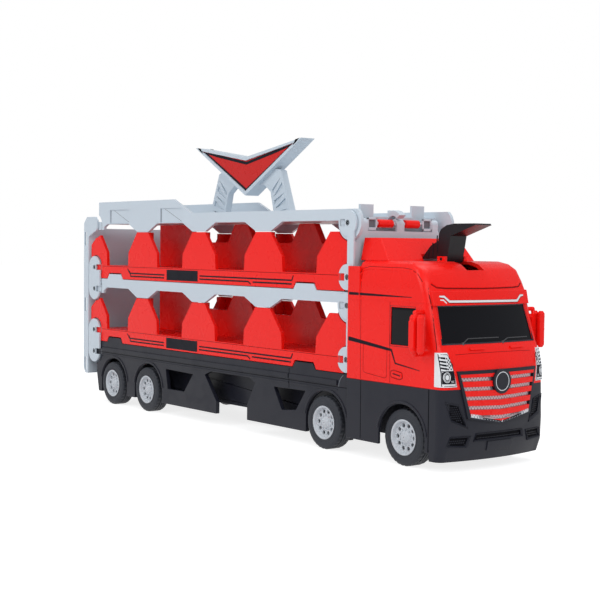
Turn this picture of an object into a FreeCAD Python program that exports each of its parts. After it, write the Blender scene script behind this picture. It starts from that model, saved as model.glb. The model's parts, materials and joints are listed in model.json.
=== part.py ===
"""Car transporter truck, a toy lorry whose load decks unfold into one long track.

X runs forward, the cab at +X, Y to the left, Z up. The origin is on the ground under the
middle of the truck. Lengths are millimetres.
"""
import FreeCAD, Part
import math
import os

V = FreeCAD.Vector

# Whole truck
TRUCK_LENGTH = 430.0
FRONT_X = TRUCK_LENGTH / 2
REAR_X = -TRUCK_LENGTH / 2
OVERRUN = 3.0

# Cab's length, and the hinge lines of the tracks between the cab and the rear end
CAB_LENGTH = 88.8
CAB_REAR_X = FRONT_X - CAB_LENGTH
PIN_REAR_SETBACK = 17.5
PIN_FRONT_GAP = 3.2
PIN_REAR_X = REAR_X + PIN_REAR_SETBACK
PIN_FRONT_X = CAB_REAR_X - PIN_FRONT_GAP
PIN_SPAN = PIN_FRONT_X - PIN_REAR_X

# Tracks: the panels of the two load decks
TRACK_HALF_WIDTH = 40.0
TRACK_WALL = 2.4
TRACK_PLATE = 2.0
BED_PIN_Z = 41.0
SHORT_LINK = 17.6
LONG_LINK = 33.6
PIN_RADIUS = 1.8
PIN_PLAY = 0.06
EAR_RADIUS = 3.6
EAR_ARM_SHARE = 0.9
END_SETBACK = 4.4
STACK_GAP = 0.4

# Links: the short side plates that join one track to the next
SIDE_GAP = 0.4
LINK_PLATE = 1.4
REAR_DISC_RADIUS = 8.9
DISC_NOTCH_START = 2.4
DISC_NOTCH_HALF = 2.3
FRONT_DISC_RADIUS = 8.1
BIG_EAR_RADIUS = 10.8
DISC_ARC_GAP = 0.8
LINK_WALL = 2.0
LINK_WALL_OFFSET = 1.2
LINK_WALL_END_GAP = 4.8
LINK_BAR_WIDTH = 6.0

# Load deck side walls: red wings that stand on the deck, grey ones that hang from the track above
WING_PITCH_SHARE = 0.24524
WING_MIDDLE_SHARE = 0.47395
WING_PITCH = PIN_SPAN * WING_PITCH_SHARE
WING_MIDDLE_X = PIN_REAR_X + PIN_SPAN * WING_MIDDLE_SHARE
REAR_WING_SETBACK = 3.5
FRONT_WING_SETBACK = 10.5
WING_TOP_HALF = 8.25
WING_SHOULDER_HALF = 21.25
WING_BASE_HALF = 22.0
WING_SHOULDER_HEIGHT = 10.5
HANGING_TOP_HALF = 21.4
STRIP_DEPTH = 8.8
RED_FLOOR_RISE = 1.7
GREY_FLOOR_RISE = 3.4
HANGING_DEPTH = 5.0
REAR_WING_REACH = 7.9
REAR_WING_CUT_LOW = 16.1
REAR_WING_CUT_TOP = 26.0
REAR_WING_CUT_REACH = 2.9
LANE_RIB_HEIGHT = 1.0
LANE_RIB_WIDTH = 1.6

# Divider between the two lanes of a load deck, and the small ribs inside its wings
DIVIDER_THICKNESS = 4.8
DIVIDER_HEIGHT = 19.4
DIVIDER_BASE_HALF = 17.0
DIVIDER_REAR_SETBACK = 38.3
DIVIDER_END_GAP = 1.0
DIVIDER_SINK = 0.8
WING_RIB_REACH = 7.2
WING_RIB_THICKNESS = 2.0

# Locating tabs between a grey track and the red one above it
TAB_HEIGHT = 4.4
TAB_BASE = 24.0
TAB_TOP = 18.6
TAB_PLAY = 0.5
REAR_TAB_SETBACK = 31.0
FRONT_TAB_SETBACK = 44.0

# Top track
TOP_WALL_HIGH = 19.1
TOP_WALL_LOW = 8.6
TOP_STEP_START = 117.5
TOP_STEP_LENGTH = 24.0
FRONT_TAB_WIDTH = 10.7
FRONT_TAB_TOP = 12.0
FRONT_LIP_HEIGHT = 4.4
FRONT_TAB_PLACE = 22.0
FRONT_HOOK_TOP = 8.6
FRONT_HOLE_SIZE = 4.2
FRONT_HOLE_DROP = 2.1
TOP_RECESS_DEPTH = 0.8
TOP_RECESS_LENGTH = 30.2
TOP_RECESS_LOW = 1.8
TOP_RECESS_TOP = 12.6
TOP_RECESS_PLACE_SHARES = (0.117, 0.356)

# Rollers and knuckles on the front end of the top link
KNUCKLE_RADIUS = 3.0
KNUCKLE_WIDTH = 5.4
KNUCKLE_PLACE = 30.2
ROLLER_RADIUS = 2.6
ROLLER_ROD_RADIUS = 1.2
ROLLER_WIDTH = 12.0
ROLLER_GAP = 2.4
HOOK_WIDTH = 6.0

# Tall rear plate, the last ramp of the track
RAMP_GAP = 0.7
RAMP_WALL = 2.0
RAMP_LOW_Z = 21.8
RAMP_TOP_RISE = 7.5
RAMP_WALL_DROP = 2.0
RAMP_CORNER = 5.0
RAMP_EAR_RADIUS = 4.6
RAMP_EAR_CHAMFER = 3.0
RAMP_SLOT_WIDTH = 3.2
RAMP_SLOT_LENGTH = 11.0
RAMP_SLOT_PLACE_SHARES = (0.14, 0.56, 0.94)

# Chassis
SKIRT_TOP_Z = 40.8
SKIRT_THICKNESS = 3.0
SKIRT_LOW_Z = 8.6
SKIRT_REAR_SETBACK = 2.1
SKIRT_REAR_X = PIN_REAR_X + SKIRT_REAR_SETBACK
SKIRT_REAR_CHAMFER = 3.2
SKIRT_REAR_BREAK_Z = 22.7
SPINE_HALF_WIDTH = 12.0
SPINE_LOW_Z = 30.0
CARRIER_HALF_WIDTH = 26.0
CARRIER_HALF_LENGTH = 7.0
CARRIER_WALL = 3.0
CARRIER_LOW_Z = 12.5
UNDERBODY_WALL_LOW_Z = 14.0
REAR_WALL = 2.0

# Wheels
WHEEL_RADIUS = 17.0
TYRE_WIDTH = 11.0
TYRE_CORNER = 1.4
WHEEL_FACE_Y = 41.6
RIM_RADIUS = 10.7
RIM_LIP = 1.1
RIM_DISC = 1.6
RIM_DISH = 2.2
RIM_HUB_RADIUS = 3.3
RIM_HOLE_RADIUS = 1.25
RIM_HOLE_CIRCLE = 7.0
RIM_HOLES = 10
AXLE_RADIUS = 1.5
AXLE_PLAY = 0.06
ARCH_RADIUS = 19.8
REAR_AXLE_SETBACK = 48.0
SECOND_AXLE_SETBACK = 100.4
THIRD_AXLE_SETBACK = 113.5
FRONT_AXLE_SETBACK = 39.4
REAR_AXLE_X = REAR_X + REAR_AXLE_SETBACK
SECOND_AXLE_X = REAR_X + SECOND_AXLE_SETBACK
THIRD_AXLE_X = FRONT_X - THIRD_AXLE_SETBACK
FRONT_AXLE_X = FRONT_X - FRONT_AXLE_SETBACK
AXLE_PLACES = (REAR_AXLE_X, SECOND_AXLE_X, THIRD_AXLE_X, FRONT_AXLE_X)

# Cab
CAB_OVERHANG = 3.4
CAB_HALF_WIDTH = TRACK_HALF_WIDTH + CAB_OVERHANG
CAB_SHELL = 1.8
CAB_FLAP_LENGTH = 9.0
CAB_BACK_WALL_X = CAB_REAR_X + CAB_FLAP_LENGTH
CAB_SIDE_FLAP = 1.3
CAB_ROOF_Z = 120.4
CAB_DEPTH_SETBACK = 8.8
CAB_DEPTH = CAB_LENGTH - CAB_DEPTH_SETBACK
CAB_BELT_Z = 48.0
CAB_SILL_Z = 10.8
CAB_FLOOR = 2.0
BUMPER_ARCH_GAP = 3.1
BUMPER_SEAM_X = FRONT_AXLE_X + ARCH_RADIUS + BUMPER_ARCH_GAP
BUMPER_SHELL = 2.2
BUMPER_RECESS_DEPTH = 1.0

# Cab windows
WINDSCREEN_LOW_Z = 73.0
WINDSCREEN_TOP_Z = 95.0
WINDSCREEN_LOW_HALF = 38.2
WINDSCREEN_TOP_HALF = 36.4
WINDOW_THICKNESS = 1.2
WINDOW_SINK = 0.5
SIDE_WINDOW_REAR_SETBACK = 49.5
SIDE_WINDOW_LOW_SETBACK = 25.0
SIDE_WINDOW_TOP_SETBACK = 28.6
SIDE_WINDOW_REAR_X = FRONT_X - SIDE_WINDOW_REAR_SETBACK
SIDE_WINDOW_LOW_FRONT_X = FRONT_X - SIDE_WINDOW_LOW_SETBACK
SIDE_WINDOW_TOP_FRONT_X = FRONT_X - SIDE_WINDOW_TOP_SETBACK
SIDE_WINDOW_LOW_Z = 71.2
SIDE_WINDOW_TOP_Z = 93.4

# Visor over the windscreen
VISOR_LOW_Z = 95.3
VISOR_TOP_Z = 103.6
VISOR_PROUD = 1.5
VISOR_HALF = 40.0
VISOR_SETBACK = 23.0
VISOR_REAR_X = FRONT_X - VISOR_SETBACK

# Headlamps
LAMP_LOW_Z = 49.5
LAMP_TOP_Z = 69.0
LAMP_LOW_INNER = 33.2
LAMP_TOP_INNER = 37.4
LAMP_SEAM_GAP = 4.1
LAMP_REAR_X = BUMPER_SEAM_X + LAMP_SEAM_GAP
LAMP_CORNER_SHARE = 0.8
LAMP_CORNER_DROP = 3.2
LAMP_PROUD = 0.5
LAMP_SINK = 1.4

# Grille
GRILLE_TOP_Z = 58.4
GRILLE_SIDE_LOW_Z = 31.0
GRILLE_TIP_Z = 26.4
GRILLE_TOP_HALF = 33.0
GRILLE_LOW_HALF = 26.4
GRILLE_BORDER = 2.0
GRILLE_FRAME_PROUD = 0.9
GRILLE_SLAT_PROUD = 1.0
GRILLE_SINK = 1.6
MESH_STRIPS = 5
MESH_STRIP_HEIGHT = 2.3
MESH_PITCH = 5.3
MESH_TOP_Z = 54.6
MESH_DROOP_SHARE = 0.16
MESH_SINK = 0.8
BADGE_RADIUS = 7.2
BADGE_Z = 51.4
BADGE_DEPTH = 2.2

# Mirrors
MIRROR_SETBACK = 21.0
MIRROR_X = FRONT_X - MIRROR_SETBACK
MIRROR_GAP = 2.6
MIRROR_WIDTH = 7.8
MIRROR_INNER = CAB_HALF_WIDTH + MIRROR_GAP
MIRROR_OUTER = MIRROR_INNER + MIRROR_WIDTH
MIRROR_GROOVE_WIDTH = 1.2
MIRROR_GROOVE_DEPTH = 0.9
MIRROR_LOW_Z = 69.5
MIRROR_TOP_Z = 88.5
MIRROR_THICKNESS = 4.2
MIRROR_TUBE = 1.3
MIRROR_ARM_RISE = 3.0
MIRROR_ARM_DROP = 2.0

# Roof fairing behind the lever
FAIRING_HALF = 36.6
FAIRING_REAR_SETBACK = 3.8
FAIRING_TOP_SETBACK = 18.4
FAIRING_FOOT_SETBACK = 29.3
FAIRING_HEIGHT = 13.9
FAIRING_REAR_X = CAB_REAR_X + FAIRING_REAR_SETBACK
FAIRING_TOP_FRONT_X = CAB_REAR_X + FAIRING_TOP_SETBACK
FAIRING_FOOT_X = CAB_REAR_X + FAIRING_FOOT_SETBACK
FAIRING_TOP_Z = CAB_ROOF_Z + FAIRING_HEIGHT
FAIRING_SHELL = 1.8
FAIRING_SIDE_SLOPE = 3.0

# Launch lever on the roof
LEVER_HALF = 6.8
LEVER_WALL = 1.7
LEVER_PIVOT_SETBACK = 43.0
LEVER_PIVOT_RISE = 1.4
LEVER_PIN_RADIUS = 1.0
LEVER_LUG_WIDTH = 2.0
LEVER_LUG_GAP = 0.5
LEVER_LUG_LENGTH = 6.4
LEVER_LUG_HEIGHT = 3.0
LEVER_REAR_SETBACK = 62.0
LEVER_TIP_SETBACK = 17.2
LEVER_HEIGHT = 22.7
LEVER_FOOT_GAP = 0.8
ROOF_SLOT_REAR_SETBACK = 47.4
ROOF_SLOT_FRONT_SETBACK = 23.0
ROOF_SLOT_DEPTH = 9.0
LEVER_PIVOT_X = FRONT_X - LEVER_PIVOT_SETBACK
LEVER_PIVOT_Z = CAB_ROOF_Z + LEVER_PIVOT_RISE
LEVER_REAR_X = FRONT_X - LEVER_REAR_SETBACK
LEVER_TIP_X = FRONT_X - LEVER_TIP_SETBACK
LEVER_TOP_Z = CAB_ROOF_Z + LEVER_HEIGHT
ROOF_SLOT_REAR_X = FRONT_X - ROOF_SLOT_REAR_SETBACK
ROOF_SLOT_FRONT_X = FRONT_X - ROOF_SLOT_FRONT_SETBACK

# Carry handle with its sign
HANDLE_PLACE_SHARE = 0.5045
HANDLE_X = PIN_REAR_X + PIN_SPAN * HANDLE_PLACE_SHARE
HANDLE_THICKNESS = 5.0
HANDLE_FOOT_HALF = 51.2
HANDLE_FOOT_INNER = 31.4
HANDLE_SHOULDER_HALF = 37.6
HANDLE_SHOULDER_Z = 183.6
HANDLE_INNER_TOP_Z = 172.8
HANDLE_FOOT_DEPTH = 12.0
HANDLE_FOOT_HEIGHT = 2.2
HANDLE_FOOT_SINK = 1.0
HANDLE_BEND_SHARE = 0.8
HANDLE_BEND_NARROW_SHARE = 0.84
HANDLE_TOP_NARROW_SHARE = 0.72
HANDLE_FOOT_NARROW_SHARE = 0.98
HANDLE_POCKET_DEPTH = 1.2
HANDLE_POCKET_EDGE_SHARE = 0.13
HANDLE_POCKETS = 5
SIGN_HALF = 66.0
SIGN_DEPTH = 12.0
SIGN_TIP_Z = 203.6
SIGN_NOTCH_Z = 193.4
SIGN_LOW_Z = 165.4
SIGN_TIP_DROP = 4.0
SIGN_BORDER = 2.2
SIGN_BORDER_SHARES = (3.4, 1.25, 1.1, 1.4, 0.55)
SIGN_BEND_SHARE = 0.9
SIGN_PANEL_SINK = 1.0

# Places that follow from the sizes above
LINK_INNER = TRACK_HALF_WIDTH + SIDE_GAP
LINK_OUTER = LINK_INNER + LINK_PLATE
WALL_INNER = TRACK_HALF_WIDTH - TRACK_WALL
PIN_Z = (
    BED_PIN_Z,
    BED_PIN_Z + SHORT_LINK,
    BED_PIN_Z + SHORT_LINK + LONG_LINK,
    BED_PIN_Z + SHORT_LINK * 2 + LONG_LINK,
    BED_PIN_Z + SHORT_LINK * 2 + LONG_LINK * 2,
)
TRACK_REAR_X = PIN_REAR_X + END_SETBACK
TRACK_FRONT_X = PIN_FRONT_X - END_SETBACK
RED_WING_RISE = LONG_LINK - HANGING_DEPTH - STACK_GAP
STRIP_RISE = SHORT_LINK - STRIP_DEPTH
GREY_WALL_TOP = STRIP_RISE - STACK_GAP
AXLE_Z = WHEEL_RADIUS
TYRE_INNER_Y = WHEEL_FACE_Y - TYRE_WIDTH
CAB_FLAP_INNER = CAB_HALF_WIDTH - CAB_SIDE_FLAP


def box(x0, x1, y0, y1, z0, z1):
    """A block between two corners."""
    return Part.makeBox(x1 - x0, y1 - y0, z1 - z0, V(x0, y0, z0))


def rod_y(x, z, radius, y0, y1):
    """A round bar along Y."""
    return Part.makeCylinder(radius, y1 - y0, V(x, y0, z), V(0, 1, 0))


def rod(start, end, radius):
    """A round bar between two points."""
    line = end - start
    return Part.makeCylinder(radius, line.Length, start, line)


def side_plate(points, y0, y1):
    """A plate whose outline is drawn in X and Z."""
    wire = Part.makePolygon([V(x, y0, z) for x, z in points + points[:1]])
    return Part.Face(wire).extrude(V(0, y1 - y0, 0))


def front_plate(points, x0, x1):
    """A plate whose outline is drawn in Y and Z."""
    wire = Part.makePolygon([V(x0, y, z) for y, z in points + points[:1]])
    return Part.Face(wire).extrude(V(x1 - x0, 0, 0))


def mirrored(shape):
    """The same shape on the other side of the truck."""
    return shape.mirror(V(0, 0, 0), V(0, 1, 0))


def both_sides(shape):
    """A shape and its mirror image as a list."""
    return [shape, mirrored(shape)]


def fuse(shapes):
    """One solid from touching pieces, without leftover seams."""
    joined = shapes[0].fuse(shapes[1:]) if len(shapes) > 1 else shapes[0]
    return joined.removeSplitter()


def save(name, shape):
    """Write one sub-part."""
    shape.exportStep("parts/" + name + ".step")


def wing_places():
    """Middles of the wings along the deck, from rear to front."""
    inner = [WING_MIDDLE_X + WING_PITCH * step for step in (-1, 0, 1)]
    return [PIN_REAR_X - REAR_WING_SETBACK] + inner + [PIN_FRONT_X - FRONT_WING_SETBACK]


def end_arm(pin_x, pin_z, toward, reach, radius):
    """Ear round a pin in the side wall layer, with the arm that carries it."""
    y0, y1 = WALL_INNER, TRACK_HALF_WIDTH
    ear = rod_y(pin_x, pin_z, radius, y0, y1)
    half = EAR_RADIUS * EAR_ARM_SHARE
    x_range = sorted((pin_x, pin_x + toward * reach))
    arm = box(x_range[0], x_range[1], y0, y1, pin_z - half, pin_z + half)
    return ear.fuse(arm)


def pin_bore(pin_x, pin_z):
    """Hole for a hinge pin through both side walls."""
    reach = TRACK_HALF_WIDTH + OVERRUN
    return rod_y(pin_x, pin_z, PIN_RADIUS + PIN_PLAY, -reach, reach)


def notch_outline(middle, low_z, grow):
    """Outline of a locating tab, or of its notch when grown by the play."""
    base = TAB_BASE / 2 + grow
    top = TAB_TOP / 2 + grow
    high_z = low_z + TAB_HEIGHT - STACK_GAP + grow
    return [(middle - base, low_z), (middle + base, low_z), (middle + top, high_z), (middle - top, high_z)]


def tab_places():
    """Middles of the two locating tabs of a wall."""
    return (PIN_REAR_X + REAR_TAB_SETBACK, PIN_FRONT_X - FRONT_TAB_SETBACK)


def red_wing(middle, pin_z):
    """Outline of one standing wing."""
    floor = pin_z + RED_FLOOR_RISE - TRACK_PLATE
    shoulder = pin_z + RED_FLOOR_RISE + WING_SHOULDER_HEIGHT
    top = pin_z + RED_WING_RISE
    return [
        (middle - WING_BASE_HALF, floor),
        (middle + WING_BASE_HALF, floor),
        (middle + WING_SHOULDER_HALF, shoulder),
        (middle + WING_TOP_HALF, top),
        (middle - WING_TOP_HALF, top),
        (middle - WING_SHOULDER_HALF, shoulder),
    ]


def rear_wing_corner(pin_z):
    """Block that cuts the slanted rear corner of the rear-most wing."""
    start = PIN_REAR_X - REAR_WING_REACH - OVERRUN
    end = PIN_REAR_X + REAR_WING_CUT_REACH
    low, top, high = (pin_z + rise for rise in (REAR_WING_CUT_LOW, REAR_WING_CUT_TOP, LONG_LINK))
    beyond = end + WING_TOP_HALF
    outline = [(start, low), (end, top), (beyond, top), (beyond, high), (start, high)]
    return side_plate(outline, WALL_INNER, TRACK_HALF_WIDTH)


def divider_ends():
    """Where the wall between the lanes starts and ends along the deck."""
    return PIN_REAR_X + DIVIDER_REAR_SETBACK, TRACK_FRONT_X - DIVIDER_END_GAP


def divider(level):
    """Wall that parts the two lanes of a load deck, raised where the wings stand."""
    pin_z = PIN_Z[level]
    floor = pin_z + RED_FLOOR_RISE
    foot = floor - DIVIDER_SINK
    low = floor + DIVIDER_HEIGHT
    top = pin_z + LONG_LINK + GREY_FLOOR_RISE - TRACK_PLATE - STACK_GAP
    start, end = divider_ends()
    first, second, third = wing_places()[1:-1]
    outline = [(start, foot), (start, top), (first + WING_TOP_HALF, top), (first + DIVIDER_BASE_HALF, low)]
    for middle in (second, third):
        outline += [
            (middle - DIVIDER_BASE_HALF, low), (middle - WING_TOP_HALF, top),
            (middle + WING_TOP_HALF, top), (middle + DIVIDER_BASE_HALF, low),
        ]
    outline += [(end, low), (end, foot)]
    half = DIVIDER_THICKNESS / 2
    return side_plate(outline, -half, half)


def wing_ribs(pin_z):
    """Small upright ribs inside the left wings of a load deck."""
    half = WING_RIB_THICKNESS / 2
    low, high = pin_z + RED_FLOOR_RISE - TRACK_PLATE, pin_z + RED_WING_RISE
    inner = WALL_INNER - WING_RIB_REACH
    return [box(middle - half, middle + half, inner, WALL_INNER, low, high) for middle in wing_places()[1:-1]]


def red_track(level):
    """A load deck: floor, side strips below it and wings that stand on it."""
    pin_z = PIN_Z[level]
    floor_top = pin_z + RED_FLOOR_RISE
    y0, y1 = WALL_INNER, TRACK_HALF_WIDTH
    strip_low = pin_z - STRIP_DEPTH
    wall = box(TRACK_REAR_X, TRACK_FRONT_X, y0, y1, strip_low, floor_top)
    for middle in wing_places():
        wall = wall.fuse(side_plate(red_wing(middle, pin_z), y0, y1))
    rear_edge = PIN_REAR_X - REAR_WING_REACH
    front_edge = PIN_FRONT_X
    wall = wall.common(box(rear_edge, front_edge, y0, y1, strip_low, pin_z + LONG_LINK))
    wall = wall.cut(rear_wing_corner(pin_z))
    rear_cut = REAR_DISC_RADIUS + DISC_ARC_GAP
    front_cut = FRONT_DISC_RADIUS + DISC_ARC_GAP
    upper_z = pin_z + LONG_LINK
    cuts = [
        rod_y(PIN_REAR_X, pin_z, rear_cut, y0, y1),
        rod_y(PIN_REAR_X, upper_z, rear_cut, y0, y1),
        rod_y(PIN_FRONT_X, pin_z, front_cut, y0, y1),
        rod_y(PIN_FRONT_X, upper_z, BIG_EAR_RADIUS + DISC_ARC_GAP, y0, y1),
    ]
    cuts += [side_plate(notch_outline(middle, strip_low, TAB_PLAY), y0, y1) for middle in tab_places()]
    wall = wall.cut(Part.makeCompound(cuts))
    wall = wall.fuse([
        end_arm(PIN_REAR_X, pin_z, 1, rear_cut + OVERRUN, EAR_RADIUS),
        end_arm(PIN_FRONT_X, pin_z, -1, front_cut + OVERRUN, EAR_RADIUS),
    ])
    plate_half = WALL_INNER + TRACK_WALL / 2
    plate = box(TRACK_REAR_X, TRACK_FRONT_X, -plate_half, plate_half, floor_top - TRACK_PLATE, floor_top)
    start, end = divider_ends()
    half = DIVIDER_THICKNESS / 2
    plate = plate.cut(box(start, end, -half, half, floor_top - DIVIDER_SINK, floor_top))
    track = fuse([plate] + both_sides(wall.fuse(wing_ribs(pin_z))))
    for pin_x in (PIN_REAR_X, PIN_FRONT_X):
        track = track.cut(pin_bore(pin_x, pin_z))
    return track


def hanging_wings(pin_z):
    """Outlines of the short wings that hang under a grey track."""
    high = pin_z + GREY_FLOOR_RISE
    edge = pin_z + GREY_FLOOR_RISE - TRACK_PLATE
    low = pin_z - HANGING_DEPTH
    outlines = []
    for middle in wing_places()[:-1]:
        outlines.append([
            (middle - HANGING_TOP_HALF, high),
            (middle + HANGING_TOP_HALF, high),
            (middle + HANGING_TOP_HALF, edge),
            (middle + WING_TOP_HALF, low),
            (middle - WING_TOP_HALF, low),
            (middle - HANGING_TOP_HALF, edge),
        ])
    return outlines


def lane_rib(floor_z):
    """Low rib that parts the two lanes of a running surface."""
    half = LANE_RIB_WIDTH / 2
    return box(TRACK_REAR_X, TRACK_FRONT_X, -half, half, floor_z - TRACK_PLATE / 2, floor_z + LANE_RIB_HEIGHT)


def rear_disc_room(pin_z):
    """Room round a rear disc in the left side wall's layer."""
    return rod_y(PIN_REAR_X, pin_z, REAR_DISC_RADIUS + DISC_ARC_GAP, WALL_INNER, TRACK_HALF_WIDTH)


def grey_walls(pin_z, wall_outline):
    """Side wall of a grey track with its hanging wings and its big front ear."""
    y0, y1 = WALL_INNER, TRACK_HALF_WIDTH
    wall = side_plate(wall_outline, y0, y1)
    for outline in hanging_wings(pin_z):
        wall = wall.fuse(side_plate(outline, y0, y1))
    low = pin_z - HANGING_DEPTH
    high = max(z for x, z in wall_outline)
    wall = wall.common(box(TRACK_REAR_X, TRACK_FRONT_X, y0, y1, low, high))
    wall = wall.cut(rear_disc_room(pin_z))
    big_ear = rod_y(PIN_FRONT_X, pin_z, BIG_EAR_RADIUS, y0, y1)
    front_top = wall_outline[2][1]
    above = box(TRACK_REAR_X, PIN_FRONT_X + BIG_EAR_RADIUS, y0, y1, front_top, front_top + BIG_EAR_RADIUS)
    return wall.fuse([
        end_arm(PIN_REAR_X, pin_z, 1, REAR_DISC_RADIUS + DISC_ARC_GAP + OVERRUN, EAR_RADIUS),
        big_ear.cut(above),
    ])


def grey_track(level, top_track):
    """A grey track: floor, side walls above it, wings below it."""
    pin_z = PIN_Z[level]
    floor = pin_z + GREY_FLOOR_RISE
    edge = floor - TRACK_PLATE
    if top_track:
        high = pin_z + TOP_WALL_HIGH
        low = pin_z + TOP_WALL_LOW
        step = PIN_REAR_X + TOP_STEP_START
        outline = [
            (TRACK_REAR_X, edge),
            (TRACK_FRONT_X, edge),
            (TRACK_FRONT_X, low),
            (step + TOP_STEP_LENGTH, low),
            (step, high),
            (TRACK_REAR_X, high),
        ]
        wall = grey_walls(pin_z, outline)
    else:
        high = pin_z + GREY_WALL_TOP
        outline = [(TRACK_REAR_X, edge), (TRACK_FRONT_X, edge), (TRACK_FRONT_X, high), (TRACK_REAR_X, high)]
        wall = grey_walls(pin_z, outline)
        for middle in tab_places():
            wall = wall.fuse(side_plate(notch_outline(middle, high, 0), WALL_INNER, TRACK_HALF_WIDTH))
    plate_half = WALL_INNER + TRACK_WALL / 2
    plate = box(TRACK_REAR_X, TRACK_FRONT_X, -plate_half, plate_half, edge, floor)
    plate = plate.cut(Part.makeCompound(both_sides(rear_disc_room(pin_z))))
    track = fuse([plate, lane_rib(floor)] + both_sides(wall))
    for pin_x in (PIN_REAR_X, PIN_FRONT_X):
        track = track.cut(pin_bore(pin_x, pin_z))
    return track


def top_track():
    """The top track, with the upright tabs at its front end."""
    track = grey_track(4, True)
    floor = PIN_Z[4] + GREY_FLOOR_RISE
    back = TRACK_FRONT_X - TRACK_PLATE
    pin_z = PIN_Z[4]
    half = FRONT_TAB_WIDTH / 2
    hole = FRONT_HOLE_SIZE / 2
    hole_z = pin_z - FRONT_HOLE_DROP
    pieces = [
        track,
        box(back, TRACK_FRONT_X, -WALL_INNER, WALL_INNER, pin_z - HANGING_DEPTH, pin_z + FRONT_LIP_HEIGHT),
        box(back, TRACK_FRONT_X, -HOOK_WIDTH / 2, HOOK_WIDTH / 2, floor, pin_z + FRONT_HOOK_TOP),
    ]
    holes = []
    for place in (-FRONT_TAB_PLACE, FRONT_TAB_PLACE):
        pieces.append(box(back, TRACK_FRONT_X, place - half, place + half, floor, pin_z + FRONT_TAB_TOP))
        holes.append(box(back, TRACK_FRONT_X, place - hole, place + hole, hole_z, hole_z + FRONT_HOLE_SIZE))
    whole = fuse(pieces).cut(Part.makeCompound(holes + handle_feet()))
    for recess in both_sides(top_recesses()):
        whole = whole.cut(recess)
    return whole


def top_recesses():
    """Shallow fields in the left outer face of the top track's wall."""
    pin_z = PIN_Z[4]
    half = TOP_RECESS_LENGTH / 2
    y0 = TRACK_HALF_WIDTH - TOP_RECESS_DEPTH
    fields = []
    for share in TOP_RECESS_PLACE_SHARES:
        middle = PIN_REAR_X + PIN_SPAN * share
        fields.append(box(middle - half, middle + half, y0, TRACK_HALF_WIDTH, pin_z + TOP_RECESS_LOW,
                          pin_z + TOP_RECESS_TOP))
    return Part.makeCompound(fields)


def disc_notch(pin_x, pin_z, toward):
    """Block that cuts the notch of one disc, open on its track's side."""
    ends = sorted((pin_x + toward * DISC_NOTCH_START, pin_x + toward * (REAR_DISC_RADIUS + OVERRUN)))
    return box(ends[0], ends[1], LINK_INNER, LINK_OUTER, pin_z - DISC_NOTCH_HALF, pin_z + DISC_NOTCH_HALF)


def link_pins(pin_x, pin_z):
    """Short pins of one side that reach into the track's ears."""
    return rod_y(pin_x, pin_z, PIN_RADIUS, WALL_INNER, LINK_OUTER)


def rear_link(level):
    """Short link at the rear, from one pin to the next above it."""
    low, high = PIN_Z[level], PIN_Z[level + 1]
    y0, y1 = LINK_INNER, LINK_OUTER
    plate = fuse([
        rod_y(PIN_REAR_X, low, REAR_DISC_RADIUS, y0, y1),
        rod_y(PIN_REAR_X, high, REAR_DISC_RADIUS, y0, y1),
        box(PIN_REAR_X - REAR_DISC_RADIUS, PIN_REAR_X + REAR_DISC_RADIUS, y0, y1, low, high),
        link_pins(PIN_REAR_X, low),
        link_pins(PIN_REAR_X, high),
    ])
    for pin_z in (low, high):
        plate = plate.cut(disc_notch(PIN_REAR_X, pin_z, 1))
    x0 = PIN_REAR_X + LINK_WALL_OFFSET
    middle = (low + high) / 2
    half = SHORT_LINK / 2 - LINK_WALL_END_GAP
    wall = box(x0, x0 + LINK_WALL, -y1, y1, middle - half, middle + half)
    return fuse([wall] + both_sides(plate))


def front_link(level):
    """Long link at the front, with its knuckles at the upper pin."""
    low, high = PIN_Z[level], PIN_Z[level + 1]
    y0, y1 = LINK_INNER, LINK_OUTER
    wall_x = PIN_FRONT_X + LINK_WALL_OFFSET
    bar = box(PIN_FRONT_X, PIN_FRONT_X + LINK_BAR_WIDTH, y0, y1, low, high)
    plate = fuse([
        rod_y(PIN_FRONT_X, low, FRONT_DISC_RADIUS, y0, y1),
        rod_y(PIN_FRONT_X, high, FRONT_DISC_RADIUS, y0, y1),
        bar,
        link_pins(PIN_FRONT_X, low),
        link_pins(PIN_FRONT_X, high),
    ])
    for pin_z in (low, high):
        plate = plate.cut(disc_notch(PIN_FRONT_X, pin_z, -1))
    wall_top = high - LINK_WALL_END_GAP
    inner_half = WALL_INNER - SIDE_GAP
    below_ear = high - BIG_EAR_RADIUS - DISC_ARC_GAP
    wide_wall = box(wall_x, wall_x + LINK_WALL, -y1, y1, low + LINK_WALL_END_GAP, below_ear)
    narrow_wall = box(wall_x, wall_x + LINK_WALL, -inner_half, inner_half, below_ear - LINK_WALL, wall_top)
    pieces = [wide_wall, narrow_wall] + both_sides(plate)
    half = KNUCKLE_WIDTH / 2
    places = [(-KNUCKLE_PLACE, half), (0, HOOK_WIDTH / 2), (KNUCKLE_PLACE, half)]
    for place, width in places:
        pieces.append(rod_y(PIN_FRONT_X, high, KNUCKLE_RADIUS, place - width, place + width))
        foot = wall_top - LINK_WALL
        pieces.append(box(wall_x, wall_x + LINK_WALL, place - width, place + width, foot, high))
    link = fuse(pieces)
    bore_half = KNUCKLE_PLACE + half + OVERRUN
    return link.cut(rod_y(PIN_FRONT_X, high, ROLLER_ROD_RADIUS + PIN_PLAY, -bore_half, bore_half))


def rollers():
    """Two red rollers on their rod at the front end of the top track."""
    high = PIN_Z[4]
    end = KNUCKLE_PLACE + KNUCKLE_WIDTH / 2
    pieces = [rod_y(PIN_FRONT_X, high, ROLLER_ROD_RADIUS, -end, end)]
    start = HOOK_WIDTH / 2 + ROLLER_GAP
    roller = rod_y(PIN_FRONT_X, high, ROLLER_RADIUS, start, start + ROLLER_WIDTH)
    return fuse(pieces + both_sides(roller))


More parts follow.
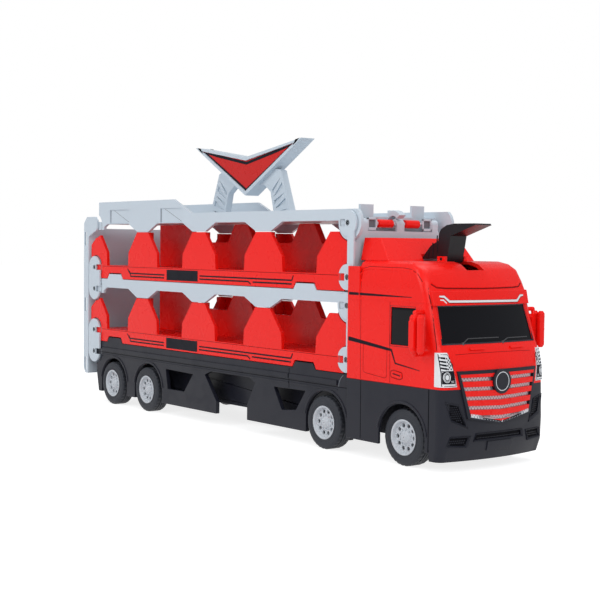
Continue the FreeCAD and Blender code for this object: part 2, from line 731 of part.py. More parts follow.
def end_ramp():
    """The tall plate that closes the rear and ends the unfolded track."""
    pin_z = PIN_Z[4]
    y0, y1 = LINK_INNER, LINK_OUTER
    inner_x = PIN_REAR_X - REAR_DISC_RADIUS - RAMP_GAP
    top = pin_z + RAMP_TOP_RISE
    outline = [
        (REAR_X, RAMP_LOW_Z + RAMP_CORNER),
        (REAR_X + RAMP_CORNER / 2, RAMP_LOW_Z),
        (inner_x, RAMP_LOW_Z),
        (inner_x, pin_z - REAR_DISC_RADIUS),
        (PIN_REAR_X, pin_z - RAMP_EAR_RADIUS),
        (PIN_REAR_X + RAMP_EAR_RADIUS, pin_z),
        (PIN_REAR_X + RAMP_EAR_RADIUS, top - RAMP_EAR_CHAMFER),
        (PIN_REAR_X + RAMP_EAR_RADIUS - RAMP_EAR_CHAMFER, top),
        (REAR_X + RAMP_CORNER, top),
        (REAR_X, top - RAMP_CORNER),
    ]
    flange = side_plate(outline, y0, y1)
    flange = flange.fuse(rod_y(PIN_REAR_X, pin_z, RAMP_EAR_RADIUS, y0, y1))
    length = top - RAMP_LOW_Z
    slot_x = (REAR_X + inner_x - RAMP_WALL) / 2
    for share in RAMP_SLOT_PLACE_SHARES:
        middle = top - length * share
        half = min(RAMP_SLOT_LENGTH / 2, middle - RAMP_LOW_Z - RAMP_WALL)
        flange = flange.cut(box(slot_x - RAMP_SLOT_WIDTH / 2, slot_x + RAMP_SLOT_WIDTH / 2, y0, y1,
                                middle - half, middle + half))
    flange = flange.fuse(link_pins(PIN_REAR_X, pin_z))
    wall = box(inner_x - RAMP_WALL, inner_x, -y1, y1, RAMP_LOW_Z, pin_z - RAMP_WALL_DROP)
    return fuse([wall] + both_sides(flange))


def handle():
    """Arch that carries the sign and serves to carry the truck."""
    foot_z = PIN_Z[4] + GREY_FLOOR_RISE
    x = HANDLE_X
    shoulder = HANDLE_SHOULDER_HALF
    inner_mid = foot_z + (HANDLE_INNER_TOP_Z - foot_z) * HANDLE_BEND_SHARE
    inner_half = HANDLE_FOOT_INNER * HANDLE_BEND_NARROW_SHARE
    half_outline = [
        (HANDLE_FOOT_HALF, foot_z),
        (HANDLE_FOOT_HALF * HANDLE_FOOT_NARROW_SHARE, foot_z + HANDLE_FOOT_DEPTH / 2),
        (shoulder + HANDLE_THICKNESS / 4, HANDLE_SHOULDER_Z - HANDLE_THICKNESS / 4),
        (shoulder - HANDLE_THICKNESS / 2, HANDLE_SHOULDER_Z),
    ]
    inner = [
        (inner_half * HANDLE_TOP_NARROW_SHARE, HANDLE_INNER_TOP_Z),
        (inner_half, inner_mid),
        (HANDLE_FOOT_INNER, foot_z + HANDLE_FOOT_HEIGHT),
        (HANDLE_FOOT_INNER, foot_z),
    ]
    right = [(x + dx, z) for dx, z in half_outline]
    left = [(x - dx, z) for dx, z in reversed(half_outline)]
    inner_left = [(x - dx, z) for dx, z in reversed(inner)]
    inner_right = [(x + dx, z) for dx, z in inner]
    outline = right + left + inner_left + inner_right
    y = HANDLE_THICKNESS / 2
    arch = side_plate(outline, -y, y)
    outer_line = half_outline[1:3]
    inner_line = (inner[2], inner[1])
    for pocket in both_sides(leg_pockets(outer_line, inner_line)):
        arch = arch.cut(pocket)
    pieces = [arch]
    return pieces + handle_feet()


def handle_feet():
    """The arch's two feet, let into the floor of the top track."""
    floor = PIN_Z[4] + GREY_FLOOR_RISE
    half = HANDLE_FOOT_DEPTH / 2
    feet = []
    for side in (-1, 1):
        ends = sorted((HANDLE_X + side * HANDLE_FOOT_INNER, HANDLE_X + side * HANDLE_FOOT_HALF))
        feet.append(box(ends[0], ends[1], -half, half, floor - HANDLE_FOOT_SINK, floor + HANDLE_FOOT_HEIGHT))
    return feet


def leg_pockets(outer_line, inner_line):
    """Triangles between the slanted ribs of both legs, on the left face."""
    def across(line, share):
        (x0, z0), (x1, z1) = line
        return (x0 + (x1 - x0) * share, z0 + (z1 - z0) * share)

    edge = HANDLE_POCKET_EDGE_SHARE
    y = HANDLE_THICKNESS / 2
    pockets = []
    for step in range(HANDLE_POCKETS):
        places = ((step + edge) / HANDLE_POCKETS, (step + 1 - edge) / HANDLE_POCKETS)
        middle = sum(places) / 2
        lines = (outer_line, inner_line) if step % 2 else (inner_line, outer_line)
        corners = [across((across(lines[0], share), across(lines[1], share)), edge) for share in places]
        corners.append(across((across(lines[1], middle), across(lines[0], middle)), edge))
        for side in (-1, 1):
            outline = [(HANDLE_X + side * dx, z) for dx, z in corners]
            pockets.append(side_plate(outline, y - HANDLE_POCKET_DEPTH, y))
    return Part.makeCompound(pockets)


def sign_outline(border):
    """The V of the sign, drawn inside its rim by the border."""
    x = HANDLE_X
    tip_share, top_share, notch_share, low_share, drop_share = SIGN_BORDER_SHARES
    half = SIGN_HALF - border * tip_share
    tip = SIGN_TIP_Z - border * top_share
    notch = SIGN_NOTCH_Z - border * notch_share
    low = SIGN_LOW_Z + border * low_share
    drop = tip - SIGN_TIP_DROP + border * drop_share
    bend = half * SIGN_BEND_SHARE
    return [(x, low), (x + bend, drop), (x + half, tip), (x, notch), (x - half, tip), (x - bend, drop)]


def carry_handle():
    """Arch and rim of the sign as one grey piece, with a shallow pocket on each face."""
    half = SIGN_DEPTH / 2
    rim = side_plate(sign_outline(0), -half, half)
    whole = fuse(handle() + [rim])
    pocket = side_plate(sign_outline(SIGN_BORDER), half - SIGN_PANEL_SINK * 2, half)
    for piece in both_sides(pocket):
        whole = whole.cut(piece)
    return whole


def sign_faces():
    """Thin panel in the pocket of each face of the sign."""
    half = SIGN_DEPTH / 2
    panel = side_plate(sign_outline(SIGN_BORDER), half - SIGN_PANEL_SINK * 2, half - SIGN_PANEL_SINK)
    return Part.makeCompound(both_sides(panel))


def arch_cut(axle_x, y0, y1):
    """Round wheel arch, open to below."""
    hole = rod_y(axle_x, AXLE_Z, ARCH_RADIUS, y0, y1)
    return hole.fuse(box(axle_x - ARCH_RADIUS, axle_x + ARCH_RADIUS, y0, y1, -OVERRUN, AXLE_Z))


def bed_arm():
    """Arm of the bed's side wall that carries the first hinge."""
    return end_arm(PIN_REAR_X, BED_PIN_Z, 1, REAR_DISC_RADIUS + DISC_ARC_GAP + OVERRUN, EAR_RADIUS)


def chassis_deck():
    """Bed of the chassis: a channel under the lowest track, with the first hinge at its rear."""
    floor = BED_PIN_Z + GREY_FLOOR_RISE
    edge = floor - TRACK_PLATE
    high = BED_PIN_Z + GREY_WALL_TOP
    y0, y1 = WALL_INNER, TRACK_HALF_WIDTH
    front = CAB_REAR_X - SIDE_GAP
    wall = box(TRACK_REAR_X, front, y0, y1, SKIRT_TOP_Z, high)
    wall = wall.cut(rod_y(PIN_REAR_X, BED_PIN_Z, REAR_DISC_RADIUS + DISC_ARC_GAP, y0, y1))
    wall = wall.cut(rod_y(PIN_FRONT_X, PIN_Z[1], FRONT_DISC_RADIUS + DISC_ARC_GAP, y0, y1))
    tabs = [side_plate(notch_outline(middle, high, 0), y0, y1) for middle in tab_places()]
    wall = wall.fuse([bed_arm()] + tabs)
    plate_half = WALL_INNER + TRACK_WALL / 2
    plate = box(TRACK_REAR_X, front, -plate_half, plate_half, edge, floor)
    deck = fuse([plate, lane_rib(floor)] + both_sides(wall))
    return deck.cut(pin_bore(PIN_REAR_X, BED_PIN_Z))


# Skirt openings as shares of the stretch between two wheel arches and of the skirt's height
REAR_OPENING_SHARES = ((0.032, 0.816), (0.244, 0.794), (0.177, 0.363), (0.048, 0.357))
MIDDLE_GAP_SHARES = (
    (0.411, 1.0), (0.608, 1.0), (0.682, 0.826), (0.629, 0.326), (0.629, -0.5),
    (0.415, -0.5), (0.417, 0.280), (0.332, 0.829),
)
FRONT_OPENING_SHARES = ((0.802, 0.804), (0.996, 0.823), (0.940, 0.404), (0.853, 0.354))


def skirt_point(share):
    """A point of the skirt from its shares of the stretch between two arches and of the height."""
    start = SECOND_AXLE_X + ARCH_RADIUS
    length = THIRD_AXLE_X - ARCH_RADIUS - start
    height = SKIRT_TOP_Z - SKIRT_LOW_Z
    return (start + share[0] * length, SKIRT_LOW_Z + share[1] * height)


def skirt():
    """Left side skirt with its wheel arches and slanted openings."""
    y0, y1 = TRACK_HALF_WIDTH - SKIRT_THICKNESS, TRACK_HALF_WIDTH
    front = CAB_REAR_X - SIDE_GAP
    outline = [
        (SKIRT_REAR_X, SKIRT_TOP_Z),
        (SKIRT_REAR_X, SKIRT_REAR_BREAK_Z),
        (SKIRT_REAR_X + SKIRT_REAR_CHAMFER, SKIRT_LOW_Z),
        (front, SKIRT_LOW_Z),
        (front, SKIRT_TOP_Z),
    ]
    plate = side_plate(outline, y0, y1)
    for shares in (REAR_OPENING_SHARES, MIDDLE_GAP_SHARES, FRONT_OPENING_SHARES):
        plate = plate.cut(side_plate([skirt_point(share) for share in shares], y0, y1))
    for axle_x in AXLE_PLACES[:-1]:
        plate = plate.cut(arch_cut(axle_x, y0, y1))
    bar_low = SKIRT_TOP_Z - TRACK_PLATE
    top_bar = box(SKIRT_REAR_X, front, y0, y1, bar_low, SKIRT_TOP_Z)
    plate = fuse([plate, top_bar])
    clear = rod_y(PIN_REAR_X, BED_PIN_Z, REAR_DISC_RADIUS + DISC_ARC_GAP, y0, y1)
    return plate.cut(clear).cut(bed_arm())


def underbody():
    """Spine under the bed and the cab, with the axle carriers."""
    deck_low = BED_PIN_Z + GREY_FLOOR_RISE - TRACK_PLATE
    floor_low = CAB_BELT_Z - CAB_FLOOR
    rear = SKIRT_REAR_X + REAR_WALL
    split = CAB_REAR_X
    last = FRONT_AXLE_X + CARRIER_HALF_LENGTH
    pieces = [
        box(rear, split, -SPINE_HALF_WIDTH, SPINE_HALF_WIDTH, SPINE_LOW_Z, deck_low),
        box(split, last, -SPINE_HALF_WIDTH, SPINE_HALF_WIDTH, SPINE_LOW_Z, floor_low),
    ]
    wall_y = CARRIER_HALF_WIDTH - CARRIER_WALL
    pieces += both_sides(box(rear, split, wall_y, CARRIER_HALF_WIDTH, UNDERBODY_WALL_LOW_Z, deck_low))
    pieces += both_sides(box(split, last, wall_y, CARRIER_HALF_WIDTH, UNDERBODY_WALL_LOW_Z, floor_low))
    for axle_x in AXLE_PLACES:
        high = deck_low if axle_x < split else floor_low
        x0, x1 = axle_x - CARRIER_HALF_LENGTH, axle_x + CARRIER_HALF_LENGTH
        pieces.append(box(x0, x1, -CARRIER_HALF_WIDTH, CARRIER_HALF_WIDTH, SPINE_LOW_Z, high))
        cheek = box(x0, x1, wall_y, CARRIER_HALF_WIDTH, CARRIER_LOW_Z, high)
        pieces += both_sides(cheek)
    skirt_inner = TRACK_HALF_WIDTH - SKIRT_THICKNESS
    rear_wall = box(SKIRT_REAR_X + SKIRT_REAR_CHAMFER, SKIRT_REAR_X + SKIRT_REAR_CHAMFER + REAR_WALL,
                    -skirt_inner, skirt_inner, CARRIER_LOW_Z, deck_low)
    pieces.append(rear_wall)
    body = fuse(pieces)
    for axle_x in AXLE_PLACES:
        reach = CARRIER_HALF_WIDTH + OVERRUN
        body = body.cut(rod_y(axle_x, AXLE_Z, AXLE_RADIUS + AXLE_PLAY, -reach, reach))
    return body


def ring_profile(points, axle_x):
    """A ring turned about an axle, from points of distance along Y and radius."""
    wire = Part.makePolygon([V(axle_x, y, AXLE_Z + r) for y, r in points + points[:1]])
    return Part.Face(wire).revolve(V(axle_x, 0, AXLE_Z), V(0, 1, 0), 360)


def tyre(axle_x):
    """A plain tyre on the left side."""
    y0, y1, c = TYRE_INNER_Y, WHEEL_FACE_Y, TYRE_CORNER
    return ring_profile([
        (y0, RIM_RADIUS), (y0, WHEEL_RADIUS - c), (y0 + c, WHEEL_RADIUS),
        (y1 - c, WHEEL_RADIUS), (y1, WHEEL_RADIUS - c), (y1, RIM_RADIUS),
    ], axle_x)


def rim(axle_x):
    """A dished rim with round holes and a hub, on the left side."""
    y0, y1 = TYRE_INNER_Y, WHEEL_FACE_Y
    disc_y = y1 - RIM_DISH - RIM_DISC
    body = ring_profile([
        (y0, RIM_RADIUS), (y1, RIM_RADIUS), (y1, RIM_RADIUS - RIM_LIP),
        (disc_y + RIM_DISC, RIM_RADIUS - RIM_LIP * 2), (disc_y + RIM_DISC, RIM_HUB_RADIUS + RIM_LIP),
        (y1 - RIM_LIP, RIM_HUB_RADIUS), (y1 - RIM_LIP, AXLE_RADIUS), (disc_y - RIM_DISC, AXLE_RADIUS),
        (disc_y - RIM_DISC, RIM_HUB_RADIUS), (disc_y, RIM_HUB_RADIUS + RIM_LIP),
        (disc_y, RIM_RADIUS - RIM_LIP * 2), (y0, RIM_RADIUS - RIM_LIP),
    ], axle_x)
    for step in range(RIM_HOLES):
        turn = 2 * math.pi * step / RIM_HOLES
        x = axle_x + RIM_HOLE_CIRCLE * math.cos(turn)
        z = AXLE_Z + RIM_HOLE_CIRCLE * math.sin(turn)
        body = body.cut(rod_y(x, z, RIM_HOLE_RADIUS, disc_y - RIM_DISC, y1))
    return body


def axle(axle_x):
    """Steel axle between the two rims."""
    end = WHEEL_FACE_Y - RIM_LIP
    return rod_y(axle_x, AXLE_Z, AXLE_RADIUS, -end, end)


# Cab sections from the belt up: height as a share of the roof height, then how far the front's
# middle, its shoulder and its side corner stand back as shares of the cab's depth, and the width share
CAB_SECTION_SHARES = (
    (0.3987, 0.0225, 0.066, 0.150, 1.0),
    (0.482, 0.030, 0.074, 0.156, 1.0),
    (0.565, 0.069, 0.106, 0.176, 1.0),
    (0.605, 0.106, 0.138, 0.194, 1.0),
    (0.790, 0.195, 0.226, 0.276, 0.995),
    (0.855, 0.2125, 0.248, 0.304, 0.992),
    (0.901, 0.2375, 0.276, 0.345, 0.982),
    (0.958, 0.285, 0.318, 0.395, 0.955),
    (0.987, 0.350, 0.380, 0.455, 0.915),
    (1.0, 0.425, 0.455, 0.520, 0.850),
)
SHOULDER_SHARE = 0.872
ROOF_SECTIONS = 3

# Bumper sections from its lower edge up to the belt, in the same shares
BUMPER_SECTION_SHARES = (
    (0.0515, 0.050, 0.100, 0.165, 0.985),
    (0.115, 0.022, 0.066, 0.150, 1.0),
    (0.224, 0.006, 0.056, 0.150, 1.0),
    (0.3987, 0.0225, 0.066, 0.150, 1.0),
)


# Recesses in the bumper, left half, as shares of the cab's half width and of the belt's height:
# the side intake, the fog lamp field and the slot in the middle
BUMPER_RECESS_SHARES = (
    ((0.92, 0.84), (0.72, 0.80), (0.62, 0.555), (0.845, 0.637)),
    ((0.90, 0.333), (0.858, 0.43), (0.55, 0.425), (0.60, 0.31)),
    ((0.0, 0.375), (0.47, 0.375), (0.44, 0.45), (0.0, 0.45)),
)


def plan_section(back_x, shares, inset, drop):
    """Closed outline of the cab seen from above, at one height."""
    height, front, shoulder, side, width = shares
    z = height * CAB_ROOF_Z - drop
    x_front = FRONT_X - front * CAB_DEPTH - inset
    x_shoulder = FRONT_X - shoulder * CAB_DEPTH - inset
    x_side = FRONT_X - side * CAB_DEPTH - inset
    half = width * CAB_HALF_WIDTH - inset
    y_shoulder = width * CAB_HALF_WIDTH * SHOULDER_SHARE - inset
    bend = math.sqrt(0.5)
    x_bend = x_side + (x_shoulder - x_side) * bend
    y_bend = y_shoulder + (half - y_shoulder) * bend
    corner_right = Part.Arc(V(x_side, -half, z), V(x_bend, -y_bend, z), V(x_shoulder, -y_shoulder, z))
    nose = Part.Arc(V(x_shoulder, -y_shoulder, z), V(x_front, 0, z), V(x_shoulder, y_shoulder, z))
    corner_left = Part.Arc(V(x_shoulder, y_shoulder, z), V(x_bend, y_bend, z), V(x_side, half, z))
    edges = [
        Part.makeLine(V(back_x, half, z), V(back_x, -half, z)),
        Part.makeLine(V(back_x, -half, z), V(x_side, -half, z)),
        corner_right.toShape(),
        nose.toShape(),
        corner_left.toShape(),
        Part.makeLine(V(x_side, half, z), V(back_x, half, z)),
    ]
    return Part.Wire(edges)


def cab_body(inset, back_x, table):
    """The cab's closed outer form, grown or shrunk by the inset."""
    count = len(table)
    wires = []
    for number, shares in enumerate(table):
        on_roof = table is CAB_SECTION_SHARES and number >= count - ROOF_SECTIONS
        drop = inset if on_roof else 0
        wires.append(plan_section(back_x, shares, inset, drop))
    return Part.makeLoft(wires, True, True)


def windscreen_hole():
    """Block through which the windscreen's outline is cut."""
    outline = [
        (-WINDSCREEN_LOW_HALF, WINDSCREEN_LOW_Z), (WINDSCREEN_LOW_HALF, WINDSCREEN_LOW_Z),
        (WINDSCREEN_TOP_HALF, WINDSCREEN_TOP_Z), (-WINDSCREEN_TOP_HALF, WINDSCREEN_TOP_Z),
    ]
    return front_plate(outline, VISOR_REAR_X - CAB_SHELL, FRONT_X)


def side_window_hole():
    """Block through which the left side window's outline is cut."""
    outline = [
        (SIDE_WINDOW_REAR_X, SIDE_WINDOW_LOW_Z), (SIDE_WINDOW_LOW_FRONT_X, SIDE_WINDOW_LOW_Z),
        (SIDE_WINDOW_TOP_FRONT_X, SIDE_WINDOW_TOP_Z), (SIDE_WINDOW_REAR_X, SIDE_WINDOW_TOP_Z),
    ]
    return side_plate(outline, CAB_HALF_WIDTH - CAB_SHELL * 2, CAB_HALF_WIDTH + OVERRUN)


def lamp_block():
    """Block that holds the left headlamp's outline."""
    corner = LAMP_LOW_INNER + (LAMP_TOP_INNER - LAMP_LOW_INNER) * LAMP_CORNER_SHARE
    outline = [
        (LAMP_LOW_INNER, LAMP_LOW_Z), (CAB_HALF_WIDTH + OVERRUN, LAMP_LOW_Z),
        (CAB_HALF_WIDTH + OVERRUN, LAMP_TOP_Z), (LAMP_TOP_INNER, LAMP_TOP_Z),
        (corner, LAMP_TOP_Z - LAMP_CORNER_DROP),
    ]
    return front_plate(outline, LAMP_REAR_X, FRONT_X + OVERRUN)


def grille_outline(border):
    """The grille's outline from the front, drawn in by the border."""
    top = GRILLE_TOP_HALF - border
    low = GRILLE_LOW_HALF - border
    return [
        (-top, GRILLE_TOP_Z - border), (top, GRILLE_TOP_Z - border), (low, GRILLE_SIDE_LOW_Z + border),
        (0, GRILLE_TIP_Z + border), (-low, GRILLE_SIDE_LOW_Z + border),
    ]


def grille_block(border):
    """Block that holds the grille's outline."""
    return front_plate(grille_outline(border), FRONT_X - CAB_DEPTH / 5, FRONT_X + OVERRUN)


def nose_body(inset):
    """Cab and bumper together, for what spans the belt line at the front."""
    back = BUMPER_SEAM_X
    upper = cab_body(inset, back, CAB_SECTION_SHARES[:4])
    lower = cab_body(inset, back, BUMPER_SECTION_SHARES)
    return upper.fuse(lower)


def cab_shell():
    """Hollow red cab with its windows, lamps, grille and roof slot cut out."""
    outer = cab_body(0, CAB_BACK_WALL_X, CAB_SECTION_SHARES)
    inner = cab_body(CAB_SHELL, CAB_BACK_WALL_X + CAB_SHELL, CAB_SECTION_SHARES)
    low_inner = inner.common(box(CAB_BACK_WALL_X, FRONT_X, -CAB_HALF_WIDTH, CAB_HALF_WIDTH, CAB_BELT_Z,
                                 CAB_ROOF_Z))
    shell = outer.cut(low_inner)
    flap_top = CAB_ROOF_Z - CAB_SHELL * 2
    flap = box(CAB_REAR_X, CAB_BACK_WALL_X + CAB_SHELL, CAB_FLAP_INNER, CAB_HALF_WIDTH, CAB_BELT_Z, flap_top)
    flap = flap.cut(outer)
    shell = fuse([shell] + both_sides(flap))
    slot_half = LEVER_HALF + LEVER_LUG_GAP
    cuts = [
        windscreen_hole(),
        grille_block(0),
        box(ROOF_SLOT_REAR_X, ROOF_SLOT_FRONT_X, -slot_half, slot_half, CAB_ROOF_Z - ROOF_SLOT_DEPTH,
            CAB_ROOF_Z + OVERRUN),
    ]
    cuts += both_sides(side_window_hole())
    cuts += both_sides(lamp_block())
    for cut in cuts:
        shell = shell.cut(cut)
    lug_y = slot_half
    lug = box(LEVER_PIVOT_X - LEVER_LUG_LENGTH / 2, LEVER_PIVOT_X + LEVER_LUG_LENGTH / 2, lug_y,
              lug_y + LEVER_LUG_WIDTH, CAB_ROOF_Z - CAB_SHELL / 2, CAB_ROOF_Z + LEVER_LUG_HEIGHT)
    lug = lug.cut(rod_y(LEVER_PIVOT_X, LEVER_PIVOT_Z, LEVER_PIN_RADIUS + PIN_PLAY, lug_y,
                        lug_y + LEVER_LUG_WIDTH))
    return fuse([shell] + both_sides(lug))


def windscreen():
    """Dark windscreen that fills its opening."""
    outer = cab_body(WINDOW_SINK, CAB_BACK_WALL_X, CAB_SECTION_SHARES)
    inner = cab_body(WINDOW_SINK + WINDOW_THICKNESS, CAB_BACK_WALL_X, CAB_SECTION_SHARES)
    return windscreen_hole().common(outer).cut(inner)


def side_window():
    """Dark side window that fills its opening, on the left."""
    outer = cab_body(WINDOW_SINK, CAB_BACK_WALL_X, CAB_SECTION_SHARES)
    inner = cab_body(WINDOW_SINK + WINDOW_THICKNESS, CAB_BACK_WALL_X, CAB_SECTION_SHARES)
    return side_window_hole().common(outer).cut(inner)


def visor():
    """Band above the windscreen, a little proud of the cab."""
    outer = cab_body(-VISOR_PROUD, CAB_BACK_WALL_X, CAB_SECTION_SHARES)
    inner = cab_body(0, CAB_BACK_WALL_X, CAB_SECTION_SHARES)
    band = box(VISOR_REAR_X, FRONT_X, -VISOR_HALF, VISOR_HALF, VISOR_LOW_Z, VISOR_TOP_Z)
    return outer.cut(inner).common(band)


def headlamp():
    """Left headlamp, wrapped round the corner."""
    outer = cab_body(-LAMP_PROUD, CAB_BACK_WALL_X, CAB_SECTION_SHARES)
    inner = cab_body(LAMP_SINK, CAB_BACK_WALL_X - OVERRUN, CAB_SECTION_SHARES)
    lamp = lamp_block().common(outer).cut(inner)
    side = CAB_HALF_WIDTH
    return lamp.common(box(LAMP_REAR_X, FRONT_X, 0, side, LAMP_LOW_Z, LAMP_TOP_Z))


def grille_parts():
    """Black frame, red slats and bright mesh strips of the grille."""
    frame_outer = nose_body(-GRILLE_FRAME_PROUD)
    slat_outer = nose_body(-GRILLE_SLAT_PROUD)
    mesh_outer = nose_body(MESH_SINK)
    inner = nose_body(GRILLE_SINK)
    limit = box(BUMPER_SEAM_X, FRONT_X, -CAB_HALF_WIDTH, CAB_HALF_WIDTH, 0, CAB_ROOF_Z)
    ring = grille_block(0).cut(grille_block(GRILLE_BORDER))
    frame = ring.common(frame_outer).cut(inner).common(limit)
    field = grille_block(GRILLE_BORDER)
    strips = []
    for number in range(MESH_STRIPS):
        z = MESH_TOP_Z - number * MESH_PITCH
        droop = (number + 1) * GRILLE_BORDER * MESH_DROOP_SHARE
        half = GRILLE_TOP_HALF
        outline = [
            (-half, z), (0, z - droop), (half, z), (half, z - MESH_STRIP_HEIGHT),
            (0, z - droop - MESH_STRIP_HEIGHT), (-half, z - MESH_STRIP_HEIGHT),
        ]
        strips.append(front_plate(outline, BUMPER_SEAM_X, FRONT_X + OVERRUN))
    grooves = Part.makeCompound(strips)
    slats = field.common(slat_outer).cut(inner).common(limit).cut(grooves)
    mesh = field.common(mesh_outer).cut(inner).common(grooves)
    seat = badge()
    return frame.cut(seat), slats.cut(seat), mesh.cut(seat)


def badge():
    """Plain round badge on the grille."""
    face = FRONT_X
    return Part.makeCylinder(BADGE_RADIUS, BADGE_DEPTH, V(face - BADGE_DEPTH, 0, BADGE_Z), V(1, 0, 0))


def bumper():
    """Black front bumper below the belt line."""
    outer = cab_body(0, BUMPER_SEAM_X, BUMPER_SECTION_SHARES)
    inner = cab_body(BUMPER_SHELL, BUMPER_SEAM_X - OVERRUN, BUMPER_SECTION_SHARES)
    shell = outer.cut(inner).cut(grille_block(0))
    hollow = cab_body(BUMPER_RECESS_DEPTH, BUMPER_SEAM_X - OVERRUN, BUMPER_SECTION_SHARES)
    width, height = CAB_HALF_WIDTH, CAB_BELT_Z
    blocks = []
    for shares in BUMPER_RECESS_SHARES:
        outline = [(width * across, height * up) for across, up in shares]
        blocks += both_sides(front_plate(outline, BUMPER_SEAM_X, FRONT_X + OVERRUN))
    return shell.cut(Part.makeCompound(blocks).cut(hollow))


def cab_lower():
    """Black lower part of the cab: floor, sides with the front wheel arches."""
    y1 = CAB_HALF_WIDTH
    y0 = y1 - CAB_SHELL
    floor = box(CAB_REAR_X, BUMPER_SEAM_X, -y1, y1, CAB_BELT_Z - CAB_FLOOR, CAB_BELT_Z)
    side = box(CAB_REAR_X, BUMPER_SEAM_X, y0, y1, CAB_SILL_Z, CAB_BELT_Z)
    side = side.cut(arch_cut(FRONT_AXLE_X, y0, y1))
    return fuse([floor] + both_sides(side))


def roof_fairing():
    """Sloped fairing at the back of the roof, hollow and open to the rear."""
    roof = CAB_ROOF_Z

    def form(inset):
        half = FAIRING_HALF - inset
        top_half = half - FAIRING_SIDE_SLOPE
        base = [(FAIRING_REAR_X, half, roof), (FAIRING_REAR_X, -half, roof)]
        back_top = [(FAIRING_REAR_X, -top_half, FAIRING_TOP_Z - inset), (FAIRING_REAR_X, top_half,
                                                                           FAIRING_TOP_Z - inset)]
        front_top = [(FAIRING_TOP_FRONT_X - inset, -top_half, FAIRING_TOP_Z - inset),
                     (FAIRING_TOP_FRONT_X - inset, top_half, FAIRING_TOP_Z - inset)]
        foot = [(FAIRING_FOOT_X - inset, -half, roof), (FAIRING_FOOT_X - inset, half, roof)]
        rear = [base[1], back_top[0], back_top[1], base[0]]
        top = [back_top[0], front_top[0], front_top[1], back_top[1]]
        front = [front_top[0], foot[0], foot[1], front_top[1]]
        right = [base[1], foot[0], front_top[0], back_top[0]]
        left = [base[0], back_top[1], front_top[1], foot[1]]
        bottom = [base[0], foot[1], foot[0], base[1]]
        faces = []
        for corners in (rear, top, front, right, left, bottom):
            points = [V(*corner) for corner in corners]
            faces.append(Part.Face(Part.makePolygon(points + points[:1])))
        return Part.Solid(Part.Shell(faces))

    slot_half = LEVER_HALF + LEVER_LUG_GAP
    slot = box(LEVER_REAR_X - LEVER_FOOT_GAP, FAIRING_FOOT_X, -slot_half, slot_half, roof, FAIRING_TOP_Z)
    return form(0).cut(form(FAIRING_SHELL)).cut(slot)


# Lever outline and pocket as shares of its length and height
LEVER_OUTLINE_SHARES = (
    (0.0, 0.03), (0.33, 0.03), (0.37, -0.065), (0.475, -0.065), (0.545, 0.66), (1.0, 0.96), (0.98, 1.0),
    (0.60, 1.0), (0.46, 0.955), (0.36, 0.85), (0.325, 0.75), (0.31, 0.53), (0.165, 0.39), (0.05, 0.15),
)
LEVER_POCKET_SHARES = (
    (0.10, -0.2), (0.33, -0.2), (0.40, 0.30), (0.46, 0.62), (0.54, 0.86), (0.46, 0.84), (0.385, 0.70),
    (0.375, 0.50), (0.22, 0.33), (0.10, 0.13),
)


def lever():
    """Launch lever with its pin: a hollow arm that ends in a thumb plate."""
    foot = CAB_ROOF_Z + LEVER_FOOT_GAP
    height = LEVER_TOP_Z - foot
    length = LEVER_TIP_X - LEVER_REAR_X
    outline = [(LEVER_REAR_X + sx * length, foot + sz * height) for sx, sz in LEVER_OUTLINE_SHARES]
    hollow = [(LEVER_REAR_X + sx * length, foot + sz * height) for sx, sz in LEVER_POCKET_SHARES]
    body = side_plate(outline, -LEVER_HALF, LEVER_HALF)
    inside = LEVER_HALF - LEVER_WALL
    body = body.cut(side_plate(hollow, -inside, inside))
    reach = LEVER_HALF + LEVER_LUG_GAP + LEVER_LUG_WIDTH
    return fuse([body, rod_y(LEVER_PIVOT_X, LEVER_PIVOT_Z, LEVER_PIN_RADIUS, -reach, reach)])


def mirror_piece():
    """Left mirror: tall housing on two bent tubes."""
    half = MIRROR_THICKNESS / 2
    width = (MIRROR_OUTER - MIRROR_INNER) / 2
    middle = (MIRROR_OUTER + MIRROR_INNER) / 2
    low, high = MIRROR_LOW_Z, MIRROR_TOP_Z
    outline = [
        (MIRROR_INNER, low + width / 2), (middle - width / 2, low), (middle + width / 2, low),
        (MIRROR_OUTER, low + width / 2), (MIRROR_OUTER, high - width / 2),
        (middle + width / 2, high), (middle - width / 2, high), (MIRROR_INNER, high - width / 2),
    ]
    pieces = [front_plate(outline, MIRROR_X - half, MIRROR_X + half)]
    root_y = CAB_HALF_WIDTH - CAB_SHELL / 2
    arms = (
        (high + MIRROR_ARM_RISE, high - width / 2),
        (low - MIRROR_ARM_DROP, low + width / 2),
    )
    for z_root, z_end in arms:
        root = V(MIRROR_X - half, root_y, z_root)
        bend = V(MIRROR_X - half / 2, middle, z_root)
        tip = V(MIRROR_X, middle, z_end)
        pieces.append(rod(root, bend, MIRROR_TUBE))
        pieces.append(Part.makeSphere(MIRROR_TUBE, bend))
        pieces.append(rod(bend, tip, MIRROR_TUBE))
    groove_half = MIRROR_GROOVE_WIDTH / 2
    groove = box(MIRROR_X + half - MIRROR_GROOVE_DEPTH, MIRROR_X + half, middle - groove_half,
                 middle + groove_half, low, high)
    mirror = fuse(pieces).cut(groove)
    return mirror.cut(cab_body(0, CAB_BACK_WALL_X, CAB_SECTION_SHARES))


def wheel_nodes():
    """Axle, rims and tyres of each wheel pair."""
    for number, axle_x in enumerate(AXLE_PLACES, start=1):
        save("axle_%d" % number, axle(axle_x))
        save("rims_%d" % number, Part.makeCompound(both_sides(rim(axle_x))))
        save("tyres_%d" % number, Part.makeCompound(both_sides(tyre(axle_x))))


